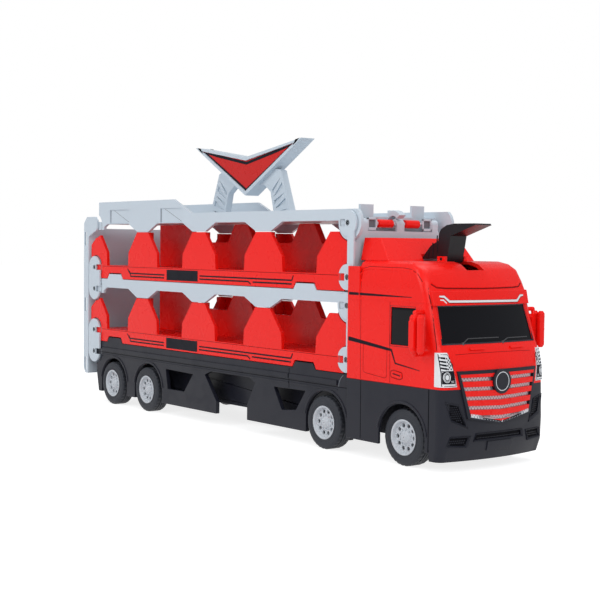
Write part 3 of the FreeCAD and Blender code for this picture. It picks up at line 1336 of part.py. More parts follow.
def main():
    """Build every sub-part and write it."""
    os.makedirs("parts", exist_ok=True)
    left_skirt = skirt()
    lamp = headlamp()
    mirror = mirror_piece()
    window = side_window()
    frame, slats, mesh = grille_parts()
    pieces = {
        "chassis_deck": chassis_deck(),
        "skirt_left": left_skirt,
        "skirt_right": mirrored(left_skirt),
        "underbody": underbody(),
        "cab_lower": cab_lower(),
        "bumper": bumper(),
        "cab_shell": cab_shell(),
        "windscreen": windscreen(),
        "side_window_left": window,
        "side_window_right": mirrored(window),
        "visor": visor(),
        "headlamp_left": lamp,
        "headlamp_right": mirrored(lamp),
        "grille_frame": frame,
        "grille_slats": slats,
        "grille_mesh": mesh,
        "badge": badge(),
        "mirror_left": mirror,
        "mirror_right": mirrored(mirror),
        "roof_fairing": roof_fairing(),
        "lever": lever(),
        "track_1": red_track(1),
        "track_2": grey_track(2, False),
        "track_3": red_track(3),
        "track_4": top_track(),
        "link_01": rear_link(0),
        "link_12": front_link(1),
        "link_23": rear_link(2),
        "link_34": front_link(3),
        "rollers": rollers(),
        "end_ramp": end_ramp(),
        "divider_1": divider(1),
        "divider_3": divider(3),
        "carry_handle": carry_handle(),
        "sign_faces": sign_faces(),
    }
    for name, shape in pieces.items():
        save(name, shape)
    wheel_nodes()


main()
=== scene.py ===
"""Looks of a toy car transporter truck: finishes, prints, mouldings and small parts round its solids.

X runs forward, the cab in front, Y to the truck's left, Z up, the floor at zero. Everything on the truck is
drawn in millimetres and turned into metres where its points are made. The studio's lengths are metres.
"""

import json
import logging
import math
from collections.abc import Callable, Sequence
from dataclasses import dataclass, field
from enum import Enum

import bmesh
import bpy
from mathutils import Matrix, Vector
from mathutils.bvhtree import BVHTree


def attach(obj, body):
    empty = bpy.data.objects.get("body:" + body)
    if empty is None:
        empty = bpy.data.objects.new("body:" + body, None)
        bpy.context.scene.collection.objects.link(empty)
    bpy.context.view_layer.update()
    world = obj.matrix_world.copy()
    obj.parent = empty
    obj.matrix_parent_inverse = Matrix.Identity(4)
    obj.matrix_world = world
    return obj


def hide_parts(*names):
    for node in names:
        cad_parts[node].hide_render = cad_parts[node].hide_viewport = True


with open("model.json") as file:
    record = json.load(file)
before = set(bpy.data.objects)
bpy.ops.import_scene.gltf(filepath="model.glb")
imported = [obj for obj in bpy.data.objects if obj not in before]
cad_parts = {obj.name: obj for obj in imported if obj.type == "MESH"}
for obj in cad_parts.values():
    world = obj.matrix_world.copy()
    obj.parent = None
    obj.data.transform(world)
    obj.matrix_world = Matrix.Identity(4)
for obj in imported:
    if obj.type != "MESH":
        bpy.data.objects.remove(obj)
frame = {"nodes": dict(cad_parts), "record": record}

log = logging.getLogger("transporter")
MM = 0.001
REACH = 1000.0  # where the rays start that meet a skin
LEVEL_PLAY = 0.4  # how far a skin may be from the level that is asked for
QUAD = 4  # faces with more corners are cut into triangles
EDGE_SHARE = 0.45  # largest share of an edge that one rounded corner takes
SHARPEST_INSET = 0.3  # keeps the corners of inset outlines from running away
SHARPEST_MITRE = 0.4  # the same for the bends of ribbons
PIECE_EDGE_ANGLE = 30  # flattest edge of a piece that is rounded, in degrees
SIDES = {"right": -1, "left": 1}
Colour = tuple[float, float, float]
Place = tuple[float, float, float]
Point = tuple[float, float]


class Plane(Enum):
    """Plane in which an outline is drawn; its value is the two drawn axes and the axis of its depth."""

    SIDE = (0, 2, 1)
    FRONT = (1, 2, 0)
    TOP = (0, 1, 2)


def spot(plane: Plane, a: float, b: float, depth: float) -> Vector:
    """A point in space.

    Args:
        plane: The plane in which it is drawn.
        a: Its place along the first drawn axis.
        b: Its place along the second drawn axis.
        depth: Its place along the third axis.

    Returns:
        The point.
    """
    point = Vector((0, 0, 0))
    first, second, third = plane.value
    point[first] = a
    point[second] = b
    point[third] = depth
    return point


def rounded(corners: Sequence[Point], radius: float, steps: int = 4) -> list[Point]:
    """The same outline with its corners turned into arcs.

    Args:
        corners: The outline's sharp corners.
        radius: The arcs' radius, made smaller where an edge is short.
        steps: How many pieces each arc has.

    Returns:
        The points of the rounded outline.
    """
    made: list[Point] = []
    count = len(corners)
    for index in range(count):
        here = Vector(corners[index])
        back = Vector(corners[index - 1]) - here
        ahead = Vector(corners[(index + 1) % count]) - here
        half_turn = back.angle(ahead) / 2
        reach = min(radius / math.tan(half_turn), back.length * EDGE_SHARE, ahead.length * EDGE_SHARE)
        start = here + back.normalized() * reach
        end = here + ahead.normalized() * reach
        for step in range(steps + 1):
            share = step / steps
            low = start.lerp(here, share)
            high = here.lerp(end, share)
            made.append(tuple(low.lerp(high, share)))
    return made


def inset(corners: Sequence[Point], distance: float) -> list[Point]:
    """The outline drawn in by a distance, or out by a negative one.

    Args:
        corners: The outline's corners.
        distance: How far every edge moves inwards.

    Returns:
        The corners of the new outline.
    """
    count = len(corners)
    area = sum(corners[i - 1][0] * corners[i][1] - corners[i][0] * corners[i - 1][1] for i in range(count))
    turn = 1 if area > 0 else -1
    made: list[Point] = []
    for index in range(count):
        here = Vector(corners[index])
        way_in = (here - Vector(corners[index - 1])).normalized()
        way_out = (Vector(corners[(index + 1) % count]) - here).normalized()
        inward_in = Vector((-way_in.y, way_in.x)) * turn
        inward_out = Vector((-way_out.y, way_out.x)) * turn
        middle = (inward_in + inward_out).normalized()
        made.append(tuple(here + middle * distance / max(middle.dot(inward_in), SHARPEST_INSET)))
    return made


def circle(middle: Point, radius: float, steps: int) -> list[Point]:
    """Points of a circle."""
    turns = [2 * math.pi * step / steps for step in range(steps)]
    return [(middle[0] + radius * math.cos(turn), middle[1] + radius * math.sin(turn)) for turn in turns]


def shifted(points: Sequence[Point], along: float, up: float) -> list[Point]:
    """The places moved by two distances."""
    return [(a + along, b + up) for a, b in points]


def flipped(points: Sequence[Point], sign: int) -> list[Point]:
    """The places as they are for 1, or mirrored in their first axis for -1."""
    return [(sign * a, b) for a, b in points]


def span(side: int, near: float, far: float) -> list[float]:
    """The two depths of a plate on one side, the lower one first."""
    return sorted((side * near, side * far))


def within(point: Point, outline: Sequence[Point], margin: float) -> bool:
    """Whether a point lies inside a convex outline.

    Args:
        point: The point.
        outline: The outline's corners.
        margin: How far it has to be from every edge.

    Returns:
        Whether it does.
    """
    sides = []
    for start, end in zip(outline, list(outline[1:]) + [outline[0]]):
        way = (Vector(end) - Vector(start)).normalized()
        sides.append(way.x * (point[1] - start[1]) - way.y * (point[0] - start[0]))
    return min(sides) > margin or max(sides) < -margin


MIX_INPUTS = (0, 6, 7)  # places of the share and the two colours among a Mix node's inputs
MIX_OUTPUT = 2


class Tree:
    """A material's or group's node tree, with short calls to add nodes and links."""

    def __init__(self, tree: bpy.types.NodeTree) -> None:
        """Keep the tree."""
        self.tree = tree

    def node(self, kind: str, **values: object) -> bpy.types.Node:
        """Add a node.

        Args:
            kind: The node's type without its ShaderNode prefix, or its full type.
            **values: Properties of the node.

        Returns:
            The new node.
        """
        full = kind if kind.startswith("Node") else "ShaderNode" + kind
        made = self.tree.nodes.new(full)
        for name, value in values.items():
            setattr(made, name, value)
        return made

    def link(self, source: bpy.types.NodeSocket, target: bpy.types.NodeSocket) -> None:
        """Join two sockets."""
        self.tree.links.new(source, target)

    def maths(self, operation: str, first: object, second: object = None) -> bpy.types.NodeSocket:
        """Add a math node.

        Args:
            operation: The Math node's operation.
            first: A number or a socket.
            second: A number or a socket, where the operation has two.

        Returns:
            The node's output.
        """
        made = self.node("Math", operation=operation)
        for slot, value in enumerate((first, second)):
            if isinstance(value, bpy.types.NodeSocket):
                self.link(value, made.inputs[slot])
            elif value is not None:
                made.inputs[slot].default_value = value
        return made.outputs[0]

    def noise(self, values: dict[str, float]) -> bpy.types.Node:
        """Add a noise that sticks to the object.

        Args:
            values: Values of its inputs by name.

        Returns:
            The noise node.
        """
        made = self.node("TexNoise")
        for name, value in values.items():
            made.inputs[name].default_value = value
        self.link(self.node("TexCoord").outputs["Object"], made.inputs["Vector"])
        return made

    def ramp(self, value: bpy.types.NodeSocket, low: float, high: float) -> bpy.types.NodeSocket:
        """Turn a value from low to high into a mask from 0 to 1."""
        made = self.node("MapRange", interpolation_type="SMOOTHSTEP")
        self.link(value, made.inputs["Value"])
        made.inputs["From Min"].default_value = low
        made.inputs["From Max"].default_value = high
        return made.outputs["Result"]

    def blend(self, mask: object, first: object, second: object, mode: str = "MIX") -> bpy.types.NodeSocket:
        """Mix two colours.

        Args:
            mask: The share of the second colour, a number or a socket.
            first: A colour or a socket.
            second: A colour or a socket.
            mode: How the colours are mixed.

        Returns:
            The mixed colour.
        """
        made = self.node("Mix", data_type="RGBA", blend_type=mode)
        for slot, value in zip(MIX_INPUTS, (mask, first, second)):
            if isinstance(value, bpy.types.NodeSocket):
                self.link(value, made.inputs[slot])
            elif value is mask:
                made.inputs[slot].default_value = value
            else:
                made.inputs[slot].default_value = (*value, 1)
        return made.outputs[MIX_OUTPUT]


def new_group(name: str, inputs: Sequence[tuple[str, str, object]], outputs: Sequence[tuple[str, str]]
              ) -> tuple[Tree, bpy.types.Node, bpy.types.Node]:
    """Start a shader node group.

    Args:
        name: The group's name.
        inputs: Name, socket type and default value of each input.
        outputs: Name and socket type of each output.

    Returns:
        The group's tree, its input node and its output node.
    """
    made = bpy.data.node_groups.new(name, "ShaderNodeTree")
    for label, kind, value in inputs:
        made.interface.new_socket(label, in_out="INPUT", socket_type=kind).default_value = value
    for label, kind in outputs:
        made.interface.new_socket(label, in_out="OUTPUT", socket_type=kind)
    tree = Tree(made)
    return tree, tree.node("NodeGroupInput"), tree.node("NodeGroupOutput")


FLOAT = "NodeSocketFloat"
COLOUR = "NodeSocketColor"
MID_GREY = (0.5, 0.5, 0.5, 1)
DUST_COLOUR = (0.5, 0.49, 0.47, 1)
FLOW_NOISE = {"Scale": 24, "Detail": 3}
SMUDGE_NOISE = {"Scale": 85, "Detail": 5, "Distortion": 0.6}
SMUDGE_RAMP = (0.42, 0.72)
GRAIN_NOISE = {"Detail": 2}
SPECK_NOISE = {"Scale": 420, "Detail": 6}
SPECK_RAMP = (0.35, 0.75)
UPWARD_RAMP = (0.2, 1.0)


def moulding_group() -> bpy.types.NodeTree:
    """Surface of moulded plastic: flow marks in its colour, handling marks in its gloss, a fine grain.

    Returns:
        The group, made once and kept under its name.
    """
    known = bpy.data.node_groups.get("moulded surface")
    if known:
        return known
    tree, enter, leave = new_group(
        "moulded surface",
        [("Colour", COLOUR, MID_GREY), ("Flow Share", FLOAT, 0.05), ("Roughness", FLOAT, 0.3),
         ("Smudge Share", FLOAT, 0.2), ("Grain Size", FLOAT, 1500.0), ("Grain Share", FLOAT, 0.5)],
        [("Colour", COLOUR), ("Roughness", FLOAT), ("Height", FLOAT)])
    flow = tree.noise(FLOW_NOISE)
    smudge = tree.noise(SMUDGE_NOISE)
    grain = tree.noise(GRAIN_NOISE)
    tree.link(enter.outputs["Grain Size"], grain.inputs["Scale"])
    around = tree.maths("SUBTRACT", flow.outputs["Fac"], 0.5)
    level = tree.maths("ADD", tree.maths("MULTIPLY", around, enter.outputs["Flow Share"]), 1.0)
    grey = tree.node("CombineColor")
    for name in ("Red", "Green", "Blue"):
        tree.link(level, grey.inputs[name])
    tinted = tree.blend(1.0, enter.outputs["Colour"], grey.outputs[0], "MULTIPLY")
    tree.link(tinted, leave.inputs["Colour"])
    mark = tree.ramp(smudge.outputs["Fac"], *SMUDGE_RAMP)
    extra = tree.maths("MULTIPLY", mark, enter.outputs["Smudge Share"])
    tree.link(tree.maths("ADD", enter.outputs["Roughness"], extra), leave.inputs["Roughness"])
    height = tree.maths("MULTIPLY", grain.outputs["Fac"], enter.outputs["Grain Share"])
    tree.link(height, leave.inputs["Height"])
    return tree.tree


def dust_group() -> bpy.types.NodeTree:
    """A thin veil of dust on what faces up.

    Returns:
        The group, made once and kept under its name.
    """
    known = bpy.data.node_groups.get("settled dust")
    if known:
        return known
    tree, enter, leave = new_group(
        "settled dust",
        [("Colour", COLOUR, MID_GREY), ("Dust", COLOUR, DUST_COLOUR), ("Amount", FLOAT, 0.1)],
        [("Colour", COLOUR), ("Mask", FLOAT)])
    surface = tree.node("NewGeometry")
    parts = tree.node("SeparateXYZ")
    tree.link(surface.outputs["Normal"], parts.inputs[0])
    speck = tree.noise(SPECK_NOISE)
    up = tree.ramp(parts.outputs["Z"], *UPWARD_RAMP)
    patchy = tree.ramp(speck.outputs["Fac"], *SPECK_RAMP)
    mask = tree.maths("MULTIPLY", tree.maths("MULTIPLY", up, patchy), enter.outputs["Amount"])
    tree.link(tree.blend(mask, enter.outputs["Colour"], enter.outputs["Dust"]), leave.inputs["Colour"])
    tree.link(mask, leave.inputs["Mask"])
    return tree.tree


class Finish:
    """A finish that is made into one material the first time it is used."""

    name: str

    def material(self) -> bpy.types.Material:
        """The finish's material."""
        known = bpy.data.materials.get(self.name)
        if known:
            return known
        made = bpy.data.materials.new(self.name)
        made.use_nodes = True
        tree = Tree(made.node_tree)
        shader = made.node_tree.nodes["Principled BSDF"]
        self.dress(tree, shader)
        return made

    def dress(self, tree: Tree, shader: bpy.types.Node) -> None:
        """Add the finish's nodes to the tree and feed its shader."""
        raise NotImplementedError


@dataclass(frozen=True)
class Moulded(Finish):
    """Moulded plastic of one colour."""

    name: str
    colour: Colour
    roughness: float = 0.3
    smudge: float = 0.12
    flow: float = 0.08
    grain_size: float = 1500.0
    grain: float = 0.5
    depth: float = 0.02 * MM
    dust: float = 0.0
    specular: float = 0.5

    def dress(self, tree: Tree, shader: bpy.types.Node) -> None:
        """Feed the shader from the moulded surface, with dust where there is any.

        Args:
            tree: The material's tree.
            shader: Its Principled BSDF.
        """
        surface = tree.node("Group", node_tree=moulding_group())
        surface.inputs["Colour"].default_value = (*self.colour, 1)
        surface.inputs["Flow Share"].default_value = self.flow
        surface.inputs["Roughness"].default_value = self.roughness
        surface.inputs["Smudge Share"].default_value = self.smudge
        surface.inputs["Grain Size"].default_value = self.grain_size
        surface.inputs["Grain Share"].default_value = self.grain
        colour = surface.outputs["Colour"]
        if self.dust:
            veil = tree.node("Group", node_tree=dust_group())
            veil.inputs["Amount"].default_value = self.dust
            tree.link(colour, veil.inputs["Colour"])
            colour = veil.outputs["Colour"]
        tree.link(colour, shader.inputs["Base Color"])
        tree.link(surface.outputs["Roughness"], shader.inputs["Roughness"])
        bump = tree.node("Bump")
        bump.inputs["Strength"].default_value = 0.5
        bump.inputs["Distance"].default_value = self.depth
        tree.link(surface.outputs["Height"], bump.inputs["Height"])
        tree.link(bump.outputs["Normal"], shader.inputs["Normal"])
        shader.inputs["Specular IOR Level"].default_value = self.specular


RED = Moulded("red_moulding", (0.93, 0.010, 0.006), roughness=0.27, smudge=0.03, flow=0.05, specular=0.27)
GREY = Moulded("grey_moulding", (0.58, 0.65, 0.715), roughness=0.36, smudge=0.05, flow=0.04, specular=0.4)
BLACK = Moulded("black_moulding", (0.013, 0.014, 0.023), roughness=0.38, smudge=0.10, grain=0.9, specular=0.3)
LEVER_BLACK = Moulded("lever_black", (0.009, 0.008, 0.011), roughness=0.30, smudge=0.06, specular=0.28)
WINDOW = Moulded("window_plastic", (0.004, 0.004, 0.006), roughness=0.10, smudge=0.03, grain=0.0, specular=0.16)
RIM = Moulded("rim_moulding", (0.56, 0.59, 0.63), roughness=0.36, smudge=0.06, specular=0.4)
TYRE = Moulded("tyre_rubber", (0.024, 0.027, 0.036), roughness=0.52, smudge=0.10, grain=1.0, dust=0.05,
               specular=0.4)
STEEL = Moulded("axle_metal", (0.55, 0.55, 0.56), roughness=0.22, flow=0.03)
LAMP_WHITE = Moulded("lamp_white", (0.78, 0.80, 0.82), roughness=0.25)
SILVER = Moulded("braid_silver", (0.74, 0.76, 0.79), roughness=0.30)
SILVER_BED = Moulded("silver_bed", (0.30, 0.31, 0.34), roughness=0.40, specular=0.3)
SIGN_RED = Moulded("sign_red", (0.62, 0.012, 0.010), roughness=0.24, specular=0.3)
BLACK_INK = Moulded("black_ink", (0.008, 0.008, 0.014), roughness=0.42, flow=0.03, specular=0.12)
WHITE_INK = Moulded("white_ink", (0.80, 0.80, 0.80), roughness=0.32, flow=0.03)
# dark red for the real seams and floor lines, and also for painted shade: the stroke along the cab's crease,
# the groove above the visor and the shadow under the visor's white line
SEAM_AND_SHADE = Moulded("red_seam_and_shade", (0.20, 0.003, 0.003), roughness=0.5, flow=0.02, specular=0.1)
SHADE = Moulded("grey_shade", (0.16, 0.17, 0.19), roughness=0.5, flow=0.02, specular=0.2)
# near black for the real seams on bumper and chassis, and for painted shade: the sheets in the bumper's
# recessed fields and the discs behind the rims
RECESS_SHADE_AND_SEAM = Moulded("black_recess_shade_and_seam", (0.003, 0.003, 0.005), roughness=0.55, flow=0.02, specular=0.06)
WIPER = Moulded("wiper_black", (0.05, 0.05, 0.055), roughness=0.35, flow=0.02)

NODE_FINISH: dict[str, Finish] = {
    "red_plastic": RED, "grey_plastic": GREY, "black_plastic": BLACK, "dark_window": WINDOW,
    "lamp_print": LAMP_WHITE, "silver_print": SILVER_BED, "sign_print": SIGN_RED, "rim_plastic": RIM,
    "tyre": TYRE, "axle_steel": STEEL,
}


@dataclass(frozen=True)
class Fit:
    """How a strip or sheet sits on its skin: how far it stands proud and how far it reaches inside."""

    rise: float
    sink: float = 0.08


INK = Fit(0.06)
THICK_INK = Fit(0.12)
INK_ON_INK = Fit(0.12, 0.0)
LINE = Fit(0.03)
LIP = Fit(0.35)


@dataclass(frozen=True)
class Strip:
    """A strip along a line that is drawn on a skin."""

    points: tuple[Point, ...]
    width: float | tuple[float, ...]
    fit: Fit
    closed: bool = False
    corner: float = 0.0


class Skin:
    """Outermost faces of some solids, met from one side."""

    def __init__(self, nodes: Sequence[str], plane: Plane, side: int) -> None:
        """Make the solids ready to be met.

        Args:
            nodes: The solids' names.
            plane: The plane in which outlines are drawn on them.
            side: 1 to meet them from high depths, -1 from low ones.
        """
        self.plane = plane
        self.side = side
        self.trees: list[BVHTree] = []
        for name in nodes:
            mesh = frame["nodes"][name].data
            points = [point.co for point in mesh.vertices]
            self.trees.append(BVHTree.FromPolygons(points, [tuple(face.vertices) for face in mesh.polygons]))

    def depth(self, a: float, b: float) -> float | None:
        """Depth of the outermost face at a drawn place, or None beside the solids."""
        start = spot(self.plane, a, b, self.side * REACH) * MM
        way = spot(self.plane, 0, 0, -self.side)
        found = [tree.ray_cast(start, way)[0] for tree in self.trees]
        depths = [point[self.plane.value[2]] * self.side for point in found if point is not None]
        return max(depths) * self.side / MM if depths else None

    def depths(self, points: Sequence[Point]) -> list[float]:
        """Depths at several places, where a place beside the solids takes its nearest neighbour's.

        Args:
            points: The drawn places.

        Returns:
            One depth for each place.
        """
        found = [self.depth(a, b) for a, b in points]
        known = [(Vector(point), depth) for point, depth in zip(points, found) if depth is not None]
        if not known:
            raise ValueError("nothing lies under this outline")
        return [min(known, key=lambda pair: (pair[0] - Vector(point)).length)[1] if depth is None else depth
                for point, depth in zip(points, found)]

    def runs(self, points: Sequence[Point], level: float | None = None) -> list[list[Point]]:
        """The stretches of a line that lie on the skin.

        Args:
            points: The line's places.
            level: How far from the middle plane the skin has to be, or None where that doesn't matter.

        Returns:
            Each stretch of more than two places.
        """
        made: list[list[Point]] = [[]]
        for point in points:
            depth = self.depth(*point)
            if depth is None or (level is not None and abs(abs(depth) - level) >= LEVEL_PLAY):
                made.append([])
            else:
                made[-1].append(point)
        return [run for run in made if len(run) > 2]


@dataclass
class Form:
    """A mesh under construction, drawn in millimetres and kept in metres."""

    bm: bmesh.types.BMesh = field(default_factory=bmesh.new)

    def ring(self, points: Sequence[Vector]) -> list[bmesh.types.BMVert]:
        """Add the points of one ring."""
        return [self.bm.verts.new(point * MM) for point in points]

    def join(self, rings: Sequence[Sequence[bmesh.types.BMVert]], closed: bool) -> None:
        """Add the faces between rings.

        Args:
            rings: The rings, each with as many points.
            closed: Whether the last ring joins the first one; otherwise both ends are closed by a face.
        """
        count = len(rings[0])
        for low, high in zip(rings, list(rings[1:]) + ([rings[0]] if closed else [])):
            for index in range(count):
                ahead = (index + 1) % count
                self.bm.faces.new((low[index], low[ahead], high[ahead], high[index]))
        if not closed:
            self.bm.faces.new(rings[0])
            self.bm.faces.new(rings[-1][::-1])

    def loft(self, rings: Sequence[Sequence[Vector]]) -> None:
        """Add a skin over rings of points, with its two ends closed."""
        self.join([self.ring(points) for points in rings], closed=False)

    def slab(self, plane: Plane, outline: Sequence[Point], depths: Sequence[float]) -> None:
        """Add a closed plate between its lowest and its highest depth."""
        self.loft([[spot(plane, a, b, depth) for a, b in outline] for depth in depths])

    def turned(self, profile: Sequence[Point], middle: Point, steps: int) -> None:
        """Add a closed body of revolution about a line along Y.

        Args:
            profile: Closed outline in radius and Y.
            middle: X and Z of the line.
            steps: How many pieces go round.
        """
        rings = []
        for across, up in circle((0, 0), 1, steps):
            rings.append(self.ring([Vector((middle[0] + radius * across, y, middle[1] + radius * up))
                                    for radius, y in profile]))
        self.join(rings, closed=True)

    def sheet(self, skin: Skin, outline: Sequence[Point], fit: Fit, cell: float | None = None) -> None:
        """Add a thin closed sheet that lies on a skin.

        Args:
            skin: The faces under the sheet.
            outline: Its corners, drawn in the skin's plane.
            fit: How it sits there.
            cell: Size of the pieces that follow a curved skin, or None on a flat one.
        """
        flat = bmesh.new()
        flat.faces.new([flat.verts.new((a, b, 0)) for a, b in outline])
        for axis in (0, 1) if cell else ():
            places = [corner[axis] for corner in outline]
            low, high = min(places), max(places)
            count = int((high - low) / cell)
            normal = Vector((1 - axis, axis, 0))
            for step in range(1, count + 1):
                everything = flat.verts[:] + flat.edges[:] + flat.faces[:]
                cut = low + (high - low) * step / (count + 1)
                bmesh.ops.bisect_plane(flat, geom=everything, plane_co=normal * cut, plane_no=normal)
        bmesh.ops.triangulate(flat, faces=[face for face in flat.faces if len(face.verts) > QUAD])
        flat.verts.index_update()
        places = [(point.co.x, point.co.y) for point in flat.verts]
        depths = skin.depths(places)
        outer, inner = (self.ring([spot(skin.plane, a, b, depth + skin.side * lift)
                                   for (a, b), depth in zip(places, depths)]) for lift in (fit.rise, -fit.sink))
        for face in flat.faces:
            ring = [point.index for point in face.verts]
            self.bm.faces.new([outer[index] for index in ring])
            self.bm.faces.new([inner[index] for index in reversed(ring)])
        for edge in flat.edges:
            if len(edge.link_faces) == 1:
                first, second = (point.index for point in edge.verts)
                self.bm.faces.new((outer[first], outer[second], inner[second], inner[first]))
        flat.free()

    def ribbon(self, skin: Skin, points: Sequence[Point], widths: Sequence[float] | float, fit: Fit,
               closed: bool = False, cell: float = 3.0) -> None:
        """Add a thin closed strip along a line on a skin.

        Args:
            skin: The faces under the strip.
            points: The line, drawn in the skin's plane.
            widths: The strip's width at each point, or one width for all.
            fit: How it sits there.
            closed: Whether the line comes back to its start.
            cell: Longest piece of the strip.
        """
        spans = list(widths) if isinstance(widths, Sequence) else [widths] * len(points)
        ends = list(zip(points, spans))
        if closed:
            ends.append(ends[0])
        line: list[Vector] = []
        breadth: list[float] = []
        for (here, width), (ahead, beyond) in zip(ends, ends[1:]):
            count = max(1, math.ceil((Vector(ahead) - Vector(here)).length / cell))
            for step in range(count):
                line.append(Vector(here).lerp(Vector(ahead), step / count))
                breadth.append(width + (beyond - width) * step / count)
        if not closed:
            line.append(Vector(ends[-1][0]))
            breadth.append(ends[-1][1])
        total = len(line)
        left: list[Vector] = []
        right: list[Vector] = []
        for index, here in enumerate(line):
            back = line[index - 1] if closed or index else here
            ahead = line[(index + 1) % total] if closed or index < total - 1 else here
            ways = [way.normalized() for way in (here - back, ahead - here) if way.length > 0]
            way = sum(ways, Vector((0, 0))).normalized()
            across = Vector((-way.y, way.x))
            lean = max(abs(across.dot(Vector((-ways[0].y, ways[0].x)))), SHARPEST_MITRE)
            left.append(here + across * (breadth[index] / 2 / lean))
            right.append(here - across * (breadth[index] / 2 / lean))
        near, far = (skin.depths([tuple(place) for place in edge]) for edge in (left, right))
        up, down = skin.side * fit.rise, skin.side * fit.sink
        rings = [self.ring([spot(skin.plane, *first, high + up), spot(skin.plane, *second, low + up),
                            spot(skin.plane, *second, low - down), spot(skin.plane, *first, high - down)])
                 for first, second, high, low in zip(left, right, near, far)]
        self.join(rings, closed)

    def strips(self, skin: Skin, strips: Sequence[Strip]) -> None:
        """Add several strips on one skin."""
        for strip in strips:
            points = rounded(strip.points, strip.corner) if strip.corner else strip.points
            self.ribbon(skin, points, strip.width, strip.fit, strip.closed)

    def object(self, name: str) -> bpy.types.Object:
        """Close the mesh and put it in the scene.

        Args:
            name: The object's name.

        Returns:
            The new object.
        """
        bmesh.ops.recalc_face_normals(self.bm, faces=self.bm.faces[:])
        mesh = bpy.data.meshes.new(name)
        self.bm.to_mesh(mesh)
        self.bm.free()
        made = bpy.data.objects.new(name, mesh)
        bpy.context.scene.collection.objects.link(made)
        return made

    def piece(self, name: str, finish: Finish, body: str, edge: float = 0.0) -> bpy.types.Object:
        """Turn the mesh into a dressed piece that rides on a body.

        Args:
            name: The piece's name.
            finish: Its finish.
            body: The body it rides on.
            edge: Width of its rounded edges.

        Returns:
            The piece.
        """
        made = self.object(name)
        made.data.materials.append(finish.material())
        if edge:
            soften(made, edge, PIECE_EDGE_ANGLE)
        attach(made, body)
        log.info("piece %s rides on %s", name, body)
        return made


def soften(thing: bpy.types.Object, width: float, angle: float) -> bpy.types.Modifier:
    """Round the edges of an object.

    Args:
        thing: The object.
        width: How wide the rounding is.
        angle: The flattest edge that is rounded, in degrees.

    Returns:
        The modifier that evens out the shading.
    """
    bevel = thing.modifiers.new("soft edges", "BEVEL")
    bevel.width = width * MM
    bevel.segments = 2
    bevel.limit_method = "ANGLE"
    bevel.angle_limit = math.radians(angle)
    return thing.modifiers.new("even shading", "WEIGHTED_NORMAL")


@dataclass
class DeckPrints:
    """Black lines and field printed on the side strips of the red decks, and the line of their floors."""

    pin_heights: dict[str, float] = field(default_factory=lambda: {"track_1": 58.6, "track_3": 109.8})
    line: float = 1.0
    longest: float = 30.0
    lines: tuple[tuple[Point, ...], ...] = (
        ((-146.6, -0.4), (-143.0, -3.9), (-91.9, -4.0)),
        ((-143.6, -1.9), (-141.6, -6.2), (-92.4, -6.2)),
        ((-43.9, -3.5), (65.2, -3.6), (66.9, -0.4)),
        ((-43.9, -5.8), (16.4, -5.8), (19.4, -7.6)),
        ((21.7, -6.0), (65.1, -6.0)),
    )
    patch: tuple[Point, ...] = ((-88.7, 0.1), (-46.4, 0.1), (-46.4, -7.7), (-88.7, -7.7))
    floor: tuple[Point, ...] = ((-187.0, 1.0), (112.5, 1.0))
    floor_line: float = 0.35
    floor_fit: Fit = Fit(0.02)
    floor_longest: float = 5.0

    def build(self) -> None:
        """Print both decks on both sides."""
        for node, pin_z in self.pin_heights.items():
            for name, side in SIDES.items():
                skin = Skin((node,), Plane.SIDE, side)
                form = Form()
                for points in self.lines:
                    form.ribbon(skin, shifted(points, 0, pin_z), self.line, INK, cell=self.longest)
                form.sheet(skin, shifted(self.patch, 0, pin_z), INK)
                form.piece(f"{node}_print_{name}", BLACK_INK, node)
                seam = Form()
                seam.ribbon(skin, shifted(self.floor, 0, pin_z), self.floor_line, self.floor_fit,
                            cell=self.floor_longest)
                seam.piece(f"{node}_floor_line_{name}", SEAM_AND_SHADE, node)


